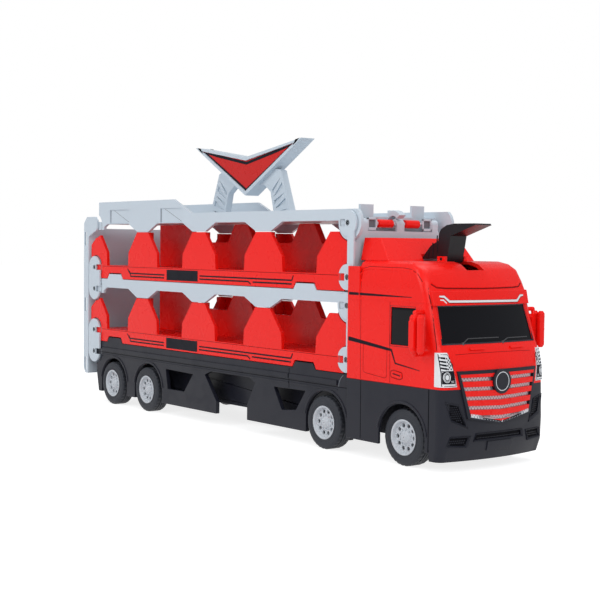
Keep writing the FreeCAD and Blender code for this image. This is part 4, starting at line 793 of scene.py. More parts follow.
@dataclass
class CabSides:
    """Stripes, seams, hatch, handle and mouldings on the cab's sides, with painted shade along the crease."""

    stripes: tuple[Strip, ...] = (
        Strip(((127.2, 100.1), (150, 99.9), (183, 99.6)), (1.7, 1.3, 0.3), INK),
        Strip(((127.2, 72.4), (162, 68.4), (166.4, 67.9), (169.9, 60.3), (190.7, 57.6)),
              (2.5, 1.7, 1.3, 0.9, 0.35), INK),
    )
    crease: tuple[Point, ...] = ((136.8, 112.6), (138.4, 115.6), (143.6, 116.8), (173.9, 116.5), (180.5, 115.8),
                                 (186.1, 113.4), (190.1, 108.9), (192.4, 103.1))
    crease_lip: float = 0.9
    crease_fit: Fit = Fit(0.25)
    seam: float = 0.32
    seams: tuple[tuple[Point, ...], ...] = (
        ((139.0, 48.4), (138.2, 96.0), (137.6, 115.1)),
        ((165.4, 48.4), (164.4, 96.2)),
        ((128.0, 47.9), (197.6, 47.9)),
        ((193.6, 105.6), (197.2, 92.9), (203.2, 70.4), (205.6, 49.0)),
    )
    hatch: Strip = Strip(((141.2, 70.6), (162.6, 68.4), (162.4, 50.6), (141.2, 52.8)), 0.28, LINE, True, 2.2)
    handle: Strip = Strip(((165.9, 55.4), (168.6, 56.3), (176.0, 55.1), (176.6, 52.0), (173.6, 50.9),
                           (166.3, 52.0)), 0.45, LINE, True, 1.4)
    handle_border: float = 0.7
    handle_corner: float = 0.8
    handle_cell: float = 2.0
    ridge: Strip = Strip(((127.2, 97.3), (159.9, 97.4), (182.3, 97.1), (194.6, 97.0)), 1.1, LIP)
    slot: Strip = Strip(((168.2, 54.2), (174.6, 53.2)), 0.7, Fit(0.40))
    seal: Strip = Strip(((165.1, 70.8), (189.4, 70.8), (186.0, 93.8), (165.1, 93.8)), 0.9, Fit(0.12), True)
    edge: float = 0.1

    def build(self) -> None:
        """Dress both sides."""
        for name, side in SIDES.items():
            skin = Skin(("cab_shell", "cab_lower"), Plane.SIDE, side)
            ink = Form()
            ink.strips(skin, self.stripes)
            ink.piece(f"cab_stripes_{name}", BLACK_INK, "truck")
            lines = Form()
            # the crease gets the seams' dark stroke: painted shade along its raised lip
            for points in self.seams + (self.crease,):
                lines.ribbon(skin, points, self.seam, LINE)
            lines.strips(skin, (self.hatch, self.handle))
            lines.piece(f"cab_seams_and_crease_shade_{name}", SEAM_AND_SHADE, "truck")
            lips = Form()
            lips.strips(skin, (self.ridge,))
            lips.ribbon(skin, shifted(self.crease, 0, -self.crease_lip), self.crease_lip, self.crease_fit)
            inner = rounded(inset(self.handle.points, self.handle_border), self.handle_corner)
            lips.sheet(skin, inner, LIP, self.handle_cell)
            lips.piece(f"cab_mouldings_{name}", RED, "truck", self.edge)
            slot = Form()
            slot.strips(skin, (self.slot,))
            slot.piece(f"cab_handle_slot_{name}", BLACK_INK, "truck")
            seal = Form()
            seal.strips(Skin(("cab_shell", f"side_window_{name}"), Plane.SIDE, side), (self.seal,))
            seal.piece(f"side_window_seal_{name}", BLACK, "truck")


@dataclass
class CabFront:
    """Visor line with its painted shadow, wipers, lugs, seams and painted shade in the groove above the visor
    on the cab's front.
    """

    visor_line: tuple[Point, ...] = ((-35.4, 100.6), (-32.0, 100.4), (-28.6, 97.6), (28.6, 97.2), (32.4, 100.2),
                                     (35.4, 100.4))
    visor_widths: tuple[float, ...] = (0.9, 1.2, 1.3, 1.3, 1.2, 0.9)
    visor_tick: Strip = Strip(((-35.2, 98.6), (-32.8, 98.4), (-30.8, 96.6)), (0.5, 0.8, 0.7), THICK_INK)
    visor_shadow_drop: float = 0.15
    visor_shadow_share: float = 1.5
    groove: tuple[Point, ...] = ((-38.0, 107.6), (-34.6, 105.5), (-28.0, 105.0), (0.0, 104.7), (28.0, 105.0),
                                 (34.6, 105.5), (38.0, 107.6))
    groove_shade_width: float = 0.7
    ledge_share: float = 0.985
    ledge_rise: float = 1.1
    ledge_width: float = 1.0
    bonnet: Strip = Strip(((-31.6, 67.6), (-20.9, 67.9), (0.0, 68.1), (20.9, 67.9), (31.6, 67.6)), 0.25, LINE)
    lugs: tuple[tuple[float, float], ...] = ((-20.2, -8.4), (13.2, 26.2))
    lug_heights: tuple[float, float] = (69.9, 71.2)
    lug_corner: float = 0.4
    lug_fit: Fit = Fit(1.1)
    lug_cell: float = 3.0
    wipers: tuple[tuple[Point, ...], ...] = (
        ((-23.3, 73.4), (-18.4, 76.2), (6.5, 76.2)),
        ((9.0, 73.4), (14.6, 75.6), (33.4, 75.6)),
    )
    wiper_width: float = 0.55
    wiper_fit: Fit = Fit(0.32, 0.05)
    hub: float = 0.8
    hub_steps: int = 16
    hub_fit: Fit = Fit(0.45, 0.05)
    # its lower edge lies a hair under the window's sill, which is at 73.0
    seal: Strip = Strip(((-38.6, 73.399), (38.6, 73.399), (36.6, 94.8), (-36.6, 94.8)), 0.8, Fit(0.1), True)
    ledge_edge: float = 0.12
    wiper_edge: float = 0.08

    def visor(self) -> None:
        """White line on the visor, with a painted shadow under it."""
        skin = Skin(("visor",), Plane.FRONT, 1)
        white = Form()
        white.ribbon(skin, self.visor_line, self.visor_widths, THICK_INK)
        white.strips(skin, (self.visor_tick,))
        white.piece("visor_line", WHITE_INK, "truck")
        # dark red band set a little lower and wider than the white line: painted shadow under the raised line
        rim = Form()
        rim.ribbon(skin, shifted(self.visor_line, 0, -self.visor_shadow_drop),
                   [width * self.visor_shadow_share for width in self.visor_widths], INK)
        rim.piece("visor_line_shadow", SEAM_AND_SHADE, "truck")

    def build(self) -> None:
        """Dress the front."""
        self.visor()
        skin = Skin(("cab_shell", "windscreen"), Plane.FRONT, 1)
        lines = Form()
        # the groove's dark stroke is painted shade in the groove; the bonnet line is a seam
        lines.ribbon(skin, self.groove, self.groove_shade_width, LINE)
        lines.strips(skin, (self.bonnet,))
        lines.piece("cab_front_seams_and_groove_shade", SEAM_AND_SHADE, "truck")
        ledge = Form()
        above = [(y * self.ledge_share, z + self.ledge_rise) for y, z in self.groove]
        ledge.ribbon(skin, above, self.ledge_width, LIP)
        low, high = self.lug_heights
        for start, stop in self.lugs:
            outline = rounded(((start, low), (stop, low), (stop, high), (start, high)), self.lug_corner)
            ledge.sheet(skin, outline, self.lug_fit, self.lug_cell)
        ledge.piece("cab_front_mouldings", RED, "truck", self.ledge_edge)
        arms = Form()
        for points in self.wipers:
            arms.ribbon(skin, points, self.wiper_width, self.wiper_fit)
            arms.sheet(skin, circle(points[0], self.hub, self.hub_steps), self.hub_fit)
        arms.piece("wipers", WIPER, "truck", self.wiper_edge)
        seal = Form()
        seal.strips(skin, (self.seal,))
        seal.piece("windscreen_seal", BLACK, "truck")


@dataclass
class Headlamps:
    """Black bars, chequers and round lamp printed on both headlamps."""

    outline: tuple[Point, ...] = ((-43.1, 68.4), (-37.6, 68.3), (-36.1, 65.4), (-33.6, 49.9), (-42.8, 49.9))
    edge: float = 0.3
    edge_cell: float = 1.5
    patch: tuple[Point, ...] = ((-42.4, 58.8), (-35.4, 58.8), (-34.5, 51.4), (-42.3, 51.4))
    patch_cell: float = 1.0
    bars: tuple[tuple[Point, Point], ...] = (
        ((-42.7, 66.3), (-39.5, 65.9)), ((-42.6, 64.3), (-39.4, 63.8)),
        ((-42.6, 62.4), (-39.3, 61.8)), ((-42.5, 60.5), (-39.2, 59.9)),
    )
    bar: float = 1.05
    bar_cell: float = 1.2
    chequer: Point = (-39.0, 66.2)
    chequer_size: tuple[int, int] = (7, 3)
    chequer_pitch: Point = (0.95, 1.0)
    block: Point = (0.8, 0.85)
    lens: Point = (-39.7, 55.2)
    lens_shares: Point = (0.80, 1.12)
    lens_rings: tuple[tuple[float, float], ...] = ((2.55, 0.30), (2.0, 0.22))
    ring_steps: int = 24
    ring_cell: float = 1.0
    core: float = 1.35
    core_steps: int = 20
    core_cell: float = 0.8
    ticks: tuple[tuple[Point, Point], ...] = (((-37.2, 53.0), (-35.3, 53.1)), ((-37.2, 52.2), (-35.3, 52.3)))
    tick: float = 0.25

    def oval(self, radius: float, steps: int) -> list[Point]:
        """Places of an oval round the lens."""
        return [(self.lens[0] + self.lens_shares[0] * a, self.lens[1] + self.lens_shares[1] * b)
                for a, b in circle((0, 0), radius, steps)]

    def blocks(self) -> list[list[Point]]:
        """Outlines of the chequer's dark blocks."""
        made = []
        rows, columns = self.chequer_size
        for row in range(rows):
            for column in range(row % 2, columns, 2):
                y = self.chequer[0] + column * self.chequer_pitch[0]
                z = self.chequer[1] - row * self.chequer_pitch[1]
                wide, high = self.block
                made.append([(y, z), (y + wide, z), (y + wide, z - high), (y, z - high)])
        return made

    def build(self) -> None:
        """Print both lamps."""
        for name, side in SIDES.items():
            skin = Skin((f"headlamp_{name}",), Plane.FRONT, 1)
            dark = Form()
            dark.ribbon(skin, flipped(inset(self.outline, self.edge), -side), self.edge, INK, closed=True,
                        cell=self.edge_cell)
            for points in self.bars:
                dark.ribbon(skin, flipped(points, -side), self.bar, INK, cell=self.bar_cell)
            for outline in self.blocks():
                dark.sheet(skin, flipped(outline, -side), INK)
            dark.sheet(skin, flipped(self.patch, -side), INK, self.patch_cell)
            dark.piece(f"headlamp_print_{name}", BLACK_INK, "truck")
            light = Form()
            for radius, width in self.lens_rings:
                ring = flipped(self.oval(radius, self.ring_steps), -side)
                light.ribbon(skin, ring, width, INK_ON_INK, closed=True, cell=self.ring_cell)
            light.sheet(skin, flipped(self.oval(self.core, self.core_steps), -side), INK_ON_INK, self.core_cell)
            for points in self.ticks:
                light.ribbon(skin, flipped(points, -side), self.tick, INK_ON_INK)
            light.piece(f"headlamp_lens_{name}", LAMP_WHITE, "truck")


@dataclass
class Grille:
    """Woven mesh strips and the badge of the grille."""

    top_z: float = 54.6
    pitch: float = 5.3
    height: float = 2.3
    droop: float = 0.32
    droop_half: float = 33.0
    halves: tuple[float, ...] = (30.6, 29.4, 28.2, 27.0, 25.6)
    weave: float = 1.15
    lean: float = 0.34
    bar: float = 0.74
    bar_reach: float = 0.95
    bar_margin: float = 0.7
    bar_rise: float = 0.06
    bar_swell: float = 0.008
    bar_sink: float = 0.05
    bar_cell: float = 5.0
    border: tuple[Point, ...] = ((-24.4, 32.9), (-12.2, 30.7), (0.0, 28.6), (12.2, 30.7), (24.4, 32.9))
    border_width: float = 2.2
    border_fit: Fit = Fit(0.01)
    border_reach: float = 0.9
    border_rise: float = 0.02
    badge_z: float = 51.4
    badge_clear: float = 8.4
    badge_fit: Fit = Fit(0.02)
    badge_rims: tuple[tuple[float, float, int], ...] = ((6.5, 0.9, 40), (3.6, 0.5, 32))
    badge_ring: tuple[float, float, int] = (5.4, 0.45, 40)

    def braid(self, form: Form, skin: Skin, half: float, reach: float, rise: float,
              middle_of: Callable[[float], float], whole: bool) -> None:
        """Add a row of small slanted bars that clears the badge.

        Args:
            form: The form that takes them.
            skin: The faces under them.
            half: Half the row's length.
            reach: Half a bar's height.
            rise: How far the middle bars stand proud; the outer ones stand higher.
            middle_of: Gives the row's height at a place across.
            whole: Whether bars that reach past the faces are left out.
        """
        for step in range(int(half * 2 / self.weave)):
            y = -half + (step + 0.5) * self.weave
            z = middle_of(y)
            lean = self.lean if step % 2 else -self.lean
            around = [(y + a, z + b) for a in (-self.bar_margin, self.bar_margin) for b in (-reach, reach)]
            if math.hypot(y, z - self.badge_z) < self.badge_clear:
                continue
            if whole and any(skin.depth(*point) is None for point in around):
                continue
            form.ribbon(skin, ((y - lean, z - reach), (y + lean, z + reach)), self.bar,
                        Fit(rise + self.bar_swell * abs(y), self.bar_sink), cell=self.bar_cell)

    def mesh(self) -> None:
        """Silver braid on the mesh strips and along the lower border."""
        form = Form()
        skin = Skin(("grille_mesh",), Plane.FRONT, 1)
        for number, half in enumerate(self.halves):
            level = self.top_z - number * self.pitch - self.height / 2
            drop = (number + 1) * self.droop
            self.braid(form, skin, half, self.bar_reach, self.bar_rise,
                       lambda y: level - drop * (1 - abs(y) / self.droop_half), whole=True)
        skin = Skin(("grille_frame", "grille_mesh", "grille_slats"), Plane.FRONT, 1)
        bed = Form()
        bed.ribbon(skin, self.border, self.border_width, self.border_fit)
        bed.piece("grille_border_bed", SILVER_BED, "truck")
        tip = self.border[len(self.border) // 2][1]
        half = -self.border[0][0]
        slope = (self.border[0][1] - tip) / half
        self.braid(form, skin, half, self.border_reach, self.border_rise,
                   lambda y: tip + abs(y) * slope, whole=False)
        form.piece("grille_braid", SILVER, "truck")

    def badge(self) -> None:
        """Rim and rings of the plain badge."""
        skin = Skin(("badge",), Plane.FRONT, 1)
        rim = Form()
        ring = Form()
        for form, (radius, width, steps) in [(rim, row) for row in self.badge_rims] + [(ring, self.badge_ring)]:
            form.ribbon(skin, circle((0, self.badge_z), radius, steps), width, self.badge_fit, closed=True)
        rim.piece("badge_rim", BLACK, "truck")
        ring.piece("badge_ring", SILVER, "truck")

    def build(self) -> None:
        """Dress the grille."""
        self.mesh()
        self.badge()


@dataclass
class Bumper:
    """Mesh on painted shade in the intakes, fog fields and slot, plate, raised edges and seams of the bumper.
    """

    intake: tuple[Point, ...] = ((-39.4, 40.0), (-31.6, 38.2), (-27.2, 27.2), (-36.2, 30.8))
    fog: tuple[Point, ...] = ((-38.4, 16.4), (-36.8, 20.2), (-24.4, 20.0), (-26.2, 15.4))
    slot: tuple[Point, ...] = ((-19.6, 18.4), (-18.8, 21.2), (18.8, 21.2), (19.6, 18.4))
    slot_border: float = 0.2
    plate: tuple[Point, ...] = ((-10.4, 16.9), (10.4, 16.9), (10.4, 11.4), (-10.4, 11.4))
    plate_corner: float = 0.6
    plate_fit: Fit = Fit(0.6)
    cell: float = 3.0
    wide_cell: float = 4.0
    lip: float = 1.0
    lip_fit: Fit = Fit(0.5)
    lip_edge: float = 0.2
    pitch: float = 1.25
    dot: float = 0.42
    dot_corners: int = 6
    dot_margin: float = 0.5
    dot_fit: Fit = Fit(0.18, 0.0)
    seams: tuple[Strip, ...] = (Strip(((198.5, 11.6), (198.5, 47.6)), 0.7, LINE),
                                Strip(((139.4, 12.0), (139.2, 47.6)), 0.5, LINE))

    def dotted(self, form: Form, skin: Skin, outline: Sequence[Point]) -> None:
        """Fill an outline with small bars.

        Args:
            form: The form that takes them.
            skin: The faces under them.
            outline: The field.
        """
        low_a, high_a = min(a for a, _ in outline), max(a for a, _ in outline)
        low_b, high_b = min(b for _, b in outline), max(b for _, b in outline)
        for row in range(int((high_b - low_b) / self.pitch)):
            for column in range(int((high_a - low_a) / self.pitch)):
                place = (low_a + (column + 0.5 + (row % 2) * 0.5) * self.pitch,
                         low_b + (row + 0.5) * self.pitch)
                if within(place, outline, self.dot_margin):
                    form.sheet(skin, circle(place, self.dot, self.dot_corners), self.dot_fit)

    def build(self) -> None:
        """Dress the bumper."""
        skin = Skin(("bumper",), Plane.FRONT, 1)
        dark = Form()
        dots = Form()
        lips = Form()
        fields = [(flipped(outline, sign), self.cell, 0.0)
                  for sign in (1, -1) for outline in (self.intake, self.fog)]
        for outline, cell, border in fields + [(list(self.slot), self.wide_cell, self.slot_border)]:
            # near-black sheet in each recessed field: painted shade
            dark.sheet(skin, outline, LINE, cell)
            lips.ribbon(skin, inset(outline, -self.lip / 2), self.lip, self.lip_fit, closed=True)
            self.dotted(dots, skin, inset(outline, border))
        lips.sheet(skin, rounded(self.plate, self.plate_corner), self.plate_fit, self.wide_cell)
        dark.piece("bumper_recess_shade", RECESS_SHADE_AND_SEAM, "truck")
        dots.piece("bumper_mesh", BLACK, "truck")
        lips.piece("bumper_mouldings", BLACK, "truck", self.lip_edge)
        seam = Form()
        for side in SIDES.values():
            seam.strips(Skin(("bumper", "cab_lower"), Plane.SIDE, side), self.seams)
        seam.piece("bumper_seams", RECESS_SHADE_AND_SEAM, "truck")


@dataclass
class Wheels:
    """Tyres with their tread, nuts, caps and lips on the rims, and a dark disc behind each rim, painted shade
    seen through its holes.
    """

    places: tuple[float, ...] = (-167.0, -114.6, 101.5, 175.6)
    height: float = 17.0
    face: float = 41.6
    # radius, and how far in from the outer face
    tread: tuple[Point, ...] = (
        (10.7, 0), (11.3, 0), (11.6, 0.25), (12.6, 0.25), (12.9, 0), (14.3, 0), (15.2, 0.1),
        (15.5, 0.35), (16.3, 0.55), (16.8, 0.95), (17.0, 1.5), (17.0, 3.1), (16.45, 3.25), (16.45, 3.85),
        (17.0, 4.0), (17.0, 5.2), (16.45, 5.35), (16.45, 5.65), (17.0, 5.8), (17.0, 7.0), (16.45, 7.15),
        (16.45, 7.75), (17.0, 7.9), (17.0, 9.5), (16.6, 10.4), (15.6, 11.0), (10.7, 11.0),
    )
    tread_steps: int = 96
    notch: float = 0.5
    notch_every: int = 3
    notch_from: float = 16.7
    notch_depths: tuple[float, float] = (3.2, 7.7)
    disc: float = 2.2
    nuts: int = 10
    nut_circle: float = 4.75
    nut: float = 0.55
    nut_corners: int = 6
    cap_steps: int = 24
    lip_steps: int = 48
    nut_reach: tuple[float, float] = (-0.2, 0.75)
    cap: tuple[Point, ...] = ((0.35, 0.9), (0.35, 1.75), (1.5, 1.75), (1.9, 1.4), (2.3, 1.35), (2.5, 0.9))
    lip: tuple[Point, ...] = ((9.9, 1.0), (9.9, 2.1), (10.5, 2.15), (10.6, 1.0))
    back: float = 9.4
    back_steps: int = 40
    back_reach: tuple[float, float] = (-4.2, -4.0)
    tread_edge: float = 0.06
    metal_edge: float = 0.08

    def tyre(self, form: Form, x: float, side: int) -> None:
        """One tyre: ribbed side, rounded shoulder and a tread of blocks.

        Args:
            form: The form that takes it.
            x: The axle's place.
            side: 1 for the left tyre, -1 for the right.
        """
        near, far = self.notch_depths
        rings = []
        for step, (across, up) in enumerate(circle((0, 0), 1, self.tread_steps)):
            ring = []
            for radius, depth in self.tread:
                shoulder = radius > self.notch_from and not near <= depth <= far
                reach = radius - self.notch if shoulder and step % self.notch_every == 0 else radius
                y = side * (self.face - depth)
                ring.append(Vector((x + reach * across, y, self.height + reach * up)))
            rings.append(form.ring(ring))
        form.join(rings, closed=True)

    def metal(self, form: Form, x: float, side: int) -> None:
        """Nuts, cap and lip of one rim.

        Args:
            form: The form that takes them.
            x: The axle's place.
            side: 1 for the left rim, -1 for the right.
        """
        disc = self.face - self.disc
        for step in range(self.nuts):
            turn = 2 * math.pi * (step + 0.5) / self.nuts
            middle = (x + self.nut_circle * math.cos(turn), self.height + self.nut_circle * math.sin(turn))
            form.slab(Plane.SIDE, circle(middle, self.nut, self.nut_corners),
                      span(side, *(disc + reach for reach in self.nut_reach)))
        for profile, steps in ((self.cap, self.cap_steps), (self.lip, self.lip_steps)):
            form.turned([(radius, side * (disc + y)) for radius, y in profile], (x, self.height), steps)

    def build(self) -> None:
        """Dress all wheels."""
        disc = self.face - self.disc
        for number, x in enumerate(self.places, 1):
            body = f"wheels_{number}"
            tyres = Form()
            metal = Form()
            hole_shade = Form()
            for side in SIDES.values():
                self.tyre(tyres, x, side)
                self.metal(metal, x, side)
                # dark disc inside the wheel behind the rim: painted shade seen through the rim's holes
                hole_shade.slab(Plane.SIDE, circle((x, self.height), self.back, self.back_steps),
                           span(side, *(disc + reach for reach in self.back_reach)))
            tread = tyres.piece(f"tyre_pair_{number}", TYRE, body, self.tread_edge)
            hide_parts(f"tyres_{number}")
            metal.piece(f"wheel_nuts_{number}", RIM, body, self.metal_edge)
            hole_shade.piece(f"wheel_back_shade_{number}", RECESS_SHADE_AND_SEAM, body)


@dataclass
class Hinges:
    """Screws and gaps round the discs of the links, and the fittings at the top link's front."""

    pins: tuple[float, ...] = (41.0, 58.6, 92.2, 109.8, 143.4)
    rear_x: float = -197.5
    front_x: float = 123.0
    discs: tuple[tuple[str, bool, tuple[int, int]], ...] = (
        ("link_01", True, (0, 1)), ("link_23", True, (2, 3)),
        ("link_12", False, (1, 2)), ("link_34", False, (3, 4)),
    )
    walls: tuple[tuple[str, str], ...] = (
        ("chassis_deck", "truck"), ("track_1", "track_1"), ("track_2", "track_2"), ("track_3", "track_3"),
        ("track_4", "track_4"),
    )
    outer: float = 41.8
    screw_depth: float = 0.3
    groove: tuple[float, float, int] = (1.25, 1.75, 24)
    head: tuple[float, float, int] = (0.25, 1.1, 20)
    rear_gap: float = 9.35
    front_gap: float = 8.6
    gap: float = 0.55
    gap_fit: Fit = Fit(0.02, 0.05)
    gap_reach: int = 60
    gap_step: int = 5
    wall: float = 40.0
    plate: tuple[float, float] = (19.6, 27.6)
    plate_x: tuple[float, float] = (1.5, 2.7)
    plate_z: tuple[float, float] = (-4.4, 3.6)
    hole_z: tuple[float, float] = (-2.6, 2.2)
    plate_rim: float = 1.1
    slot_x: tuple[float, float] = (1.2, 1.5)
    slot_rim: float = 1.0
    slot_overlap: float = 0.1
    knuckle: tuple[Point, ...] = ((0.9, 29.4), (0.9, 33.2), (2.2, 33.2), (2.7, 32.7), (2.7, 29.9), (2.2, 29.4))
    knuckle_steps: int = 28
    plate_edge: float = 0.25
    hook_y: tuple[float, float] = (-4.4, 1.1)
    hook_edge: float = 0.3
    hook_radii: tuple[float, float] = (8.6, 5.0)
    hook_turns: tuple[int, int, int] = (40, 180, 10)
    rod: float = 1.35

    def screws(self) -> None:
        """Small screw with its recess on every disc."""
        for body, rear, levels in self.discs:
            x = self.rear_x if rear else self.front_x
            dark = Form()
            metal = Form()
            for level in levels:
                for side in SIDES.values():
                    low, high = span(side, self.outer - self.screw_depth, self.outer)
                    for form, (inner, outer, steps) in ((dark, self.groove), (metal, self.head)):
                        form.turned([(inner, low), (inner, high), (outer, high), (outer, low)],
                                    (x, self.pins[level]), steps)
            dark.piece(f"{body}_grooves", SHADE, body)
            metal.piece(f"{body}_pin_heads", GREY, body)

    def arc(self, x: float, z: float, radius: float, toward: int) -> list[Point]:
        """Places round a disc, on the side where its wall lies."""
        turns = [math.radians(turn) for turn in range(-self.gap_reach, self.gap_reach + 1, self.gap_step)]
        return [(x + toward * radius * math.cos(turn), z + radius * math.sin(turn)) for turn in turns]

    def gaps(self) -> None:
        """Dark gap round the discs, on the walls behind them."""
        for (node, body), z in zip(self.walls, self.pins):
            form = Form()
            found = False
            for side in SIDES.values():
                skin = Skin((node,), Plane.SIDE, side)
                for x, radius, toward in ((self.rear_x, self.rear_gap, 1), (self.front_x, self.front_gap, -1)):
                    for run in skin.runs(self.arc(x, z, radius, toward), self.wall):
                        form.ribbon(skin, run, self.gap, self.gap_fit)
                        found = True
            if found:
                form.piece(f"{node}_disc_gaps", SHADE, body)
            else:
                form.bm.free()

    def front_row(self) -> None:
        """Slotted plates and knuckles on the top link's cross bar, and the hook over it from the top track."""
        x = self.front_x
        z = self.pins[-1]
        bottom, top = (z + drop for drop in self.plate_z)
        hole_low, hole_high = (z + drop for drop in self.hole_z)
        row = Form()
        dark = Form()
        for side in SIDES.values():
            low, high = span(side, *self.plate)
            bars = ((low, low + self.plate_rim, bottom, top), (high - self.plate_rim, high, bottom, top),
                    (low, high, hole_high, top), (low, high, bottom, hole_low))
            for y0, y1, z0, z1 in bars:
                row.slab(Plane.FRONT, ((y0, z0), (y1, z0), (y1, z1), (y0, z1)),
                         [x + at for at in self.plate_x])
            y0, y1 = low + self.slot_rim, high - self.slot_rim
            z0, z1 = hole_low - self.slot_overlap, hole_high + self.slot_overlap
            dark.slab(Plane.FRONT, ((y0, z0), (y1, z0), (y1, z1), (y0, z1)),
                      [x + at for at in self.slot_x])
            row.turned([(radius, side * y) for radius, y in self.knuckle], (x, z), self.knuckle_steps)
        row.piece("top_link_plates", GREY, "link_34", self.plate_edge)
        dark.piece("top_link_slots", SHADE, "link_34")
        start, stop, step = self.hook_turns
        ways = [math.radians(turn) for turn in range(start, stop + 1, step)]
        outer, inner = self.hook_radii
        outline = [(x + radius * math.cos(way), z + radius * math.sin(way))
                   for radius, turns in ((outer, ways), (inner, ways[::-1])) for way in turns]
        hook = Form()
        hook.slab(Plane.SIDE, outline, self.hook_y)
        hook.piece("top_track_hook", GREY, "track_4", self.hook_edge)

    def rods(self) -> None:
        """Grey finish on the thin rods between the rollers."""
        node = frame["nodes"]["rollers"]
        node.data.materials.append(GREY.material())
        middle = Vector((self.front_x, self.pins[-1])) * MM
        for face in node.data.polygons:
            if (Vector((face.center.x, face.center.z)) - middle).length < self.rod * MM:
                face.material_index = 1

    def build(self) -> None:
        """Dress all links."""
        self.screws()
        self.gaps()
        self.front_row()
        self.rods()


@dataclass
class Mirrors:
    """Upright tubes with collars on the mirrors' outer sides."""

    places: tuple[Point, ...] = ((193.5, 51.5), (198.9, 50.9))
    radius: float = 2.25
    levels: tuple[Point, ...] = ((68.0, 0.55), (69.6, 1.0), (88.8, 1.0), (90.4, 0.55))
    collars: tuple[float, ...] = (71.4, 79.4, 87.0)
    collar_half: float = 0.7
    edge: float = 0.2
    collar_share: float = 1.02
    steps: int = 20

    def build(self) -> None:
        """Dress both mirrors."""
        for name, side in SIDES.items():
            form = Form()
            for x, y in self.places:
                middle = (x, side * y)
                rings = [(z, circle(middle, self.radius * share, self.steps)) for z, share in self.levels]
                form.loft([[spot(Plane.TOP, a, b, z) for a, b in ring] for z, ring in rings])
                ring = circle(middle, self.radius * self.collar_share, self.steps)
                for z in self.collars:
                    form.slab(Plane.TOP, ring, (z - self.collar_half, z + self.collar_half))
            form.piece(f"mirror_tubes_{name}", RED, "truck", self.edge)


@dataclass
class Lever:
    """Upright ribs on the launch lever's sides."""

    fit: Fit = Fit(0.3)
    width: float = 0.9
    edge: float = 0.15
    ribs: tuple[tuple[Point, Point], ...] = (
        ((158.4, 122.6), (158.8, 127.4)), ((162.0, 122.6), (162.4, 131.6)), ((165.8, 125.8), (166.2, 136.0)),
    )

    def build(self) -> None:
        """Dress both sides."""
        form = Form()
        for side in SIDES.values():
            skin = Skin(("lever",), Plane.SIDE, side)
            for points in self.ribs:
                form.ribbon(skin, points, self.width, self.fit)
        form.piece("lever_ribs", LEVER_BLACK, "launch_lever", self.edge)


@dataclass
class Chassis:
    """Round moulding along the bed, seams, and raised lips round the wheel arches."""

    runs: tuple[tuple[float, float], ...] = ((-186.0, 62.9), (63.9, 113.0))
    mouldings: tuple[tuple[float, float, Fit], ...] = ((43.4, 3.2, Fit(0.8)), (38.9, 1.2, Fit(0.3)))
    longest: float = 60.0
    upright: Strip = Strip(((63.4, 35.4), (63.4, 48.4)), 0.5, Fit(0.04))
    level: Strip = Strip(((-192.0, 40.8), (124.0, 40.8)), 0.35, LINE)
    axles: tuple[float, ...] = (-167.0, -114.6, 101.5, 175.6)
    axle_z: float = 17.0
    arch: float = 21.2
    arch_turns: tuple[int, int, int] = (8, 172, 6)
    arch_lip: float = 1.7
    arch_fit: Fit = Fit(0.5)
    arch_edge: float = 0.35
    moulding_edge: float = 0.6

    def arches(self, name: str, side: int) -> None:
        """Lips round the wheel arches of one side.

        Args:
            name: The side's name.
            side: 1 for the left side, -1 for the right.
        """
        skin = Skin(("chassis_deck", "skirt_left", "skirt_right", "cab_lower", "bumper"), Plane.SIDE, side)
        start, stop, step = self.arch_turns
        ways = [math.radians(turn) for turn in range(start, stop + 1, step)]
        form = Form()
        for x in self.axles:
            line = [(x + self.arch * math.cos(way), self.axle_z + self.arch * math.sin(way)) for way in ways]
            for run in skin.runs(line):
                form.ribbon(skin, run, self.arch_lip, self.arch_fit)
        form.piece(f"arch_lips_{name}", BLACK, "truck", self.arch_edge)

    def build(self) -> None:
        """Dress both sides."""
        for name, side in SIDES.items():
            skin = Skin(("chassis_deck", "skirt_left", "skirt_right"), Plane.SIDE, side)
            form = Form()
            for start, stop in self.runs:
                for z, width, fit in self.mouldings:
                    form.ribbon(skin, ((start, z), (stop, z)), width, fit, cell=self.longest)
            form.piece(f"chassis_mouldings_{name}", BLACK, "truck", self.moulding_edge)
            self.arches(name, side)
            seam = Form()
            seam.strips(skin, (self.upright,))
            seam.ribbon(skin, self.level.points, self.level.width, self.level.fit, cell=self.longest)
            seam.piece(f"chassis_seams_{name}", RECESS_SHADE_AND_SEAM, "truck")


@dataclass
class Handle:
    """Border of the sign's faces, and the clips at its tips."""

    middle: float = -35.805
    outline: tuple[Point, ...] = ((0, 168.2), (52.4, 196.9), (58.2, 200.7), (0, 190.0), (-58.2, 200.7),
                                  (-52.4, 196.9))
    border: float = 2.1
    border_inset: float = 1.0
    border_cell: float = 20.0
    clip: tuple[Point, ...] = ((59.4, 202.9), (63.6, 203.5), (59.8, 200.6), (56.0, 198.6))
    clip_depths: tuple[float, float] = (5.7, 6.0)

    def build(self) -> None:
        """Dress the sign."""
        for name, side in SIDES.items():
            line = inset(shifted(self.outline, self.middle, 0), self.border_inset)
            rim = Form()
            rim.ribbon(Skin(("sign_faces",), Plane.SIDE, side), line, self.border, INK, closed=True,
                       cell=self.border_cell)
            rim.piece(f"sign_border_{name}", BLACK_INK, "track_4")
        clips = Form()
        for tip in (1, -1):
            for side in (1, -1):
                clips.slab(Plane.SIDE, shifted(flipped(self.clip, tip), self.middle, 0),
                           span(side, *self.clip_depths))
        clips.piece("sign_clips", BLACK_INK, "track_4")


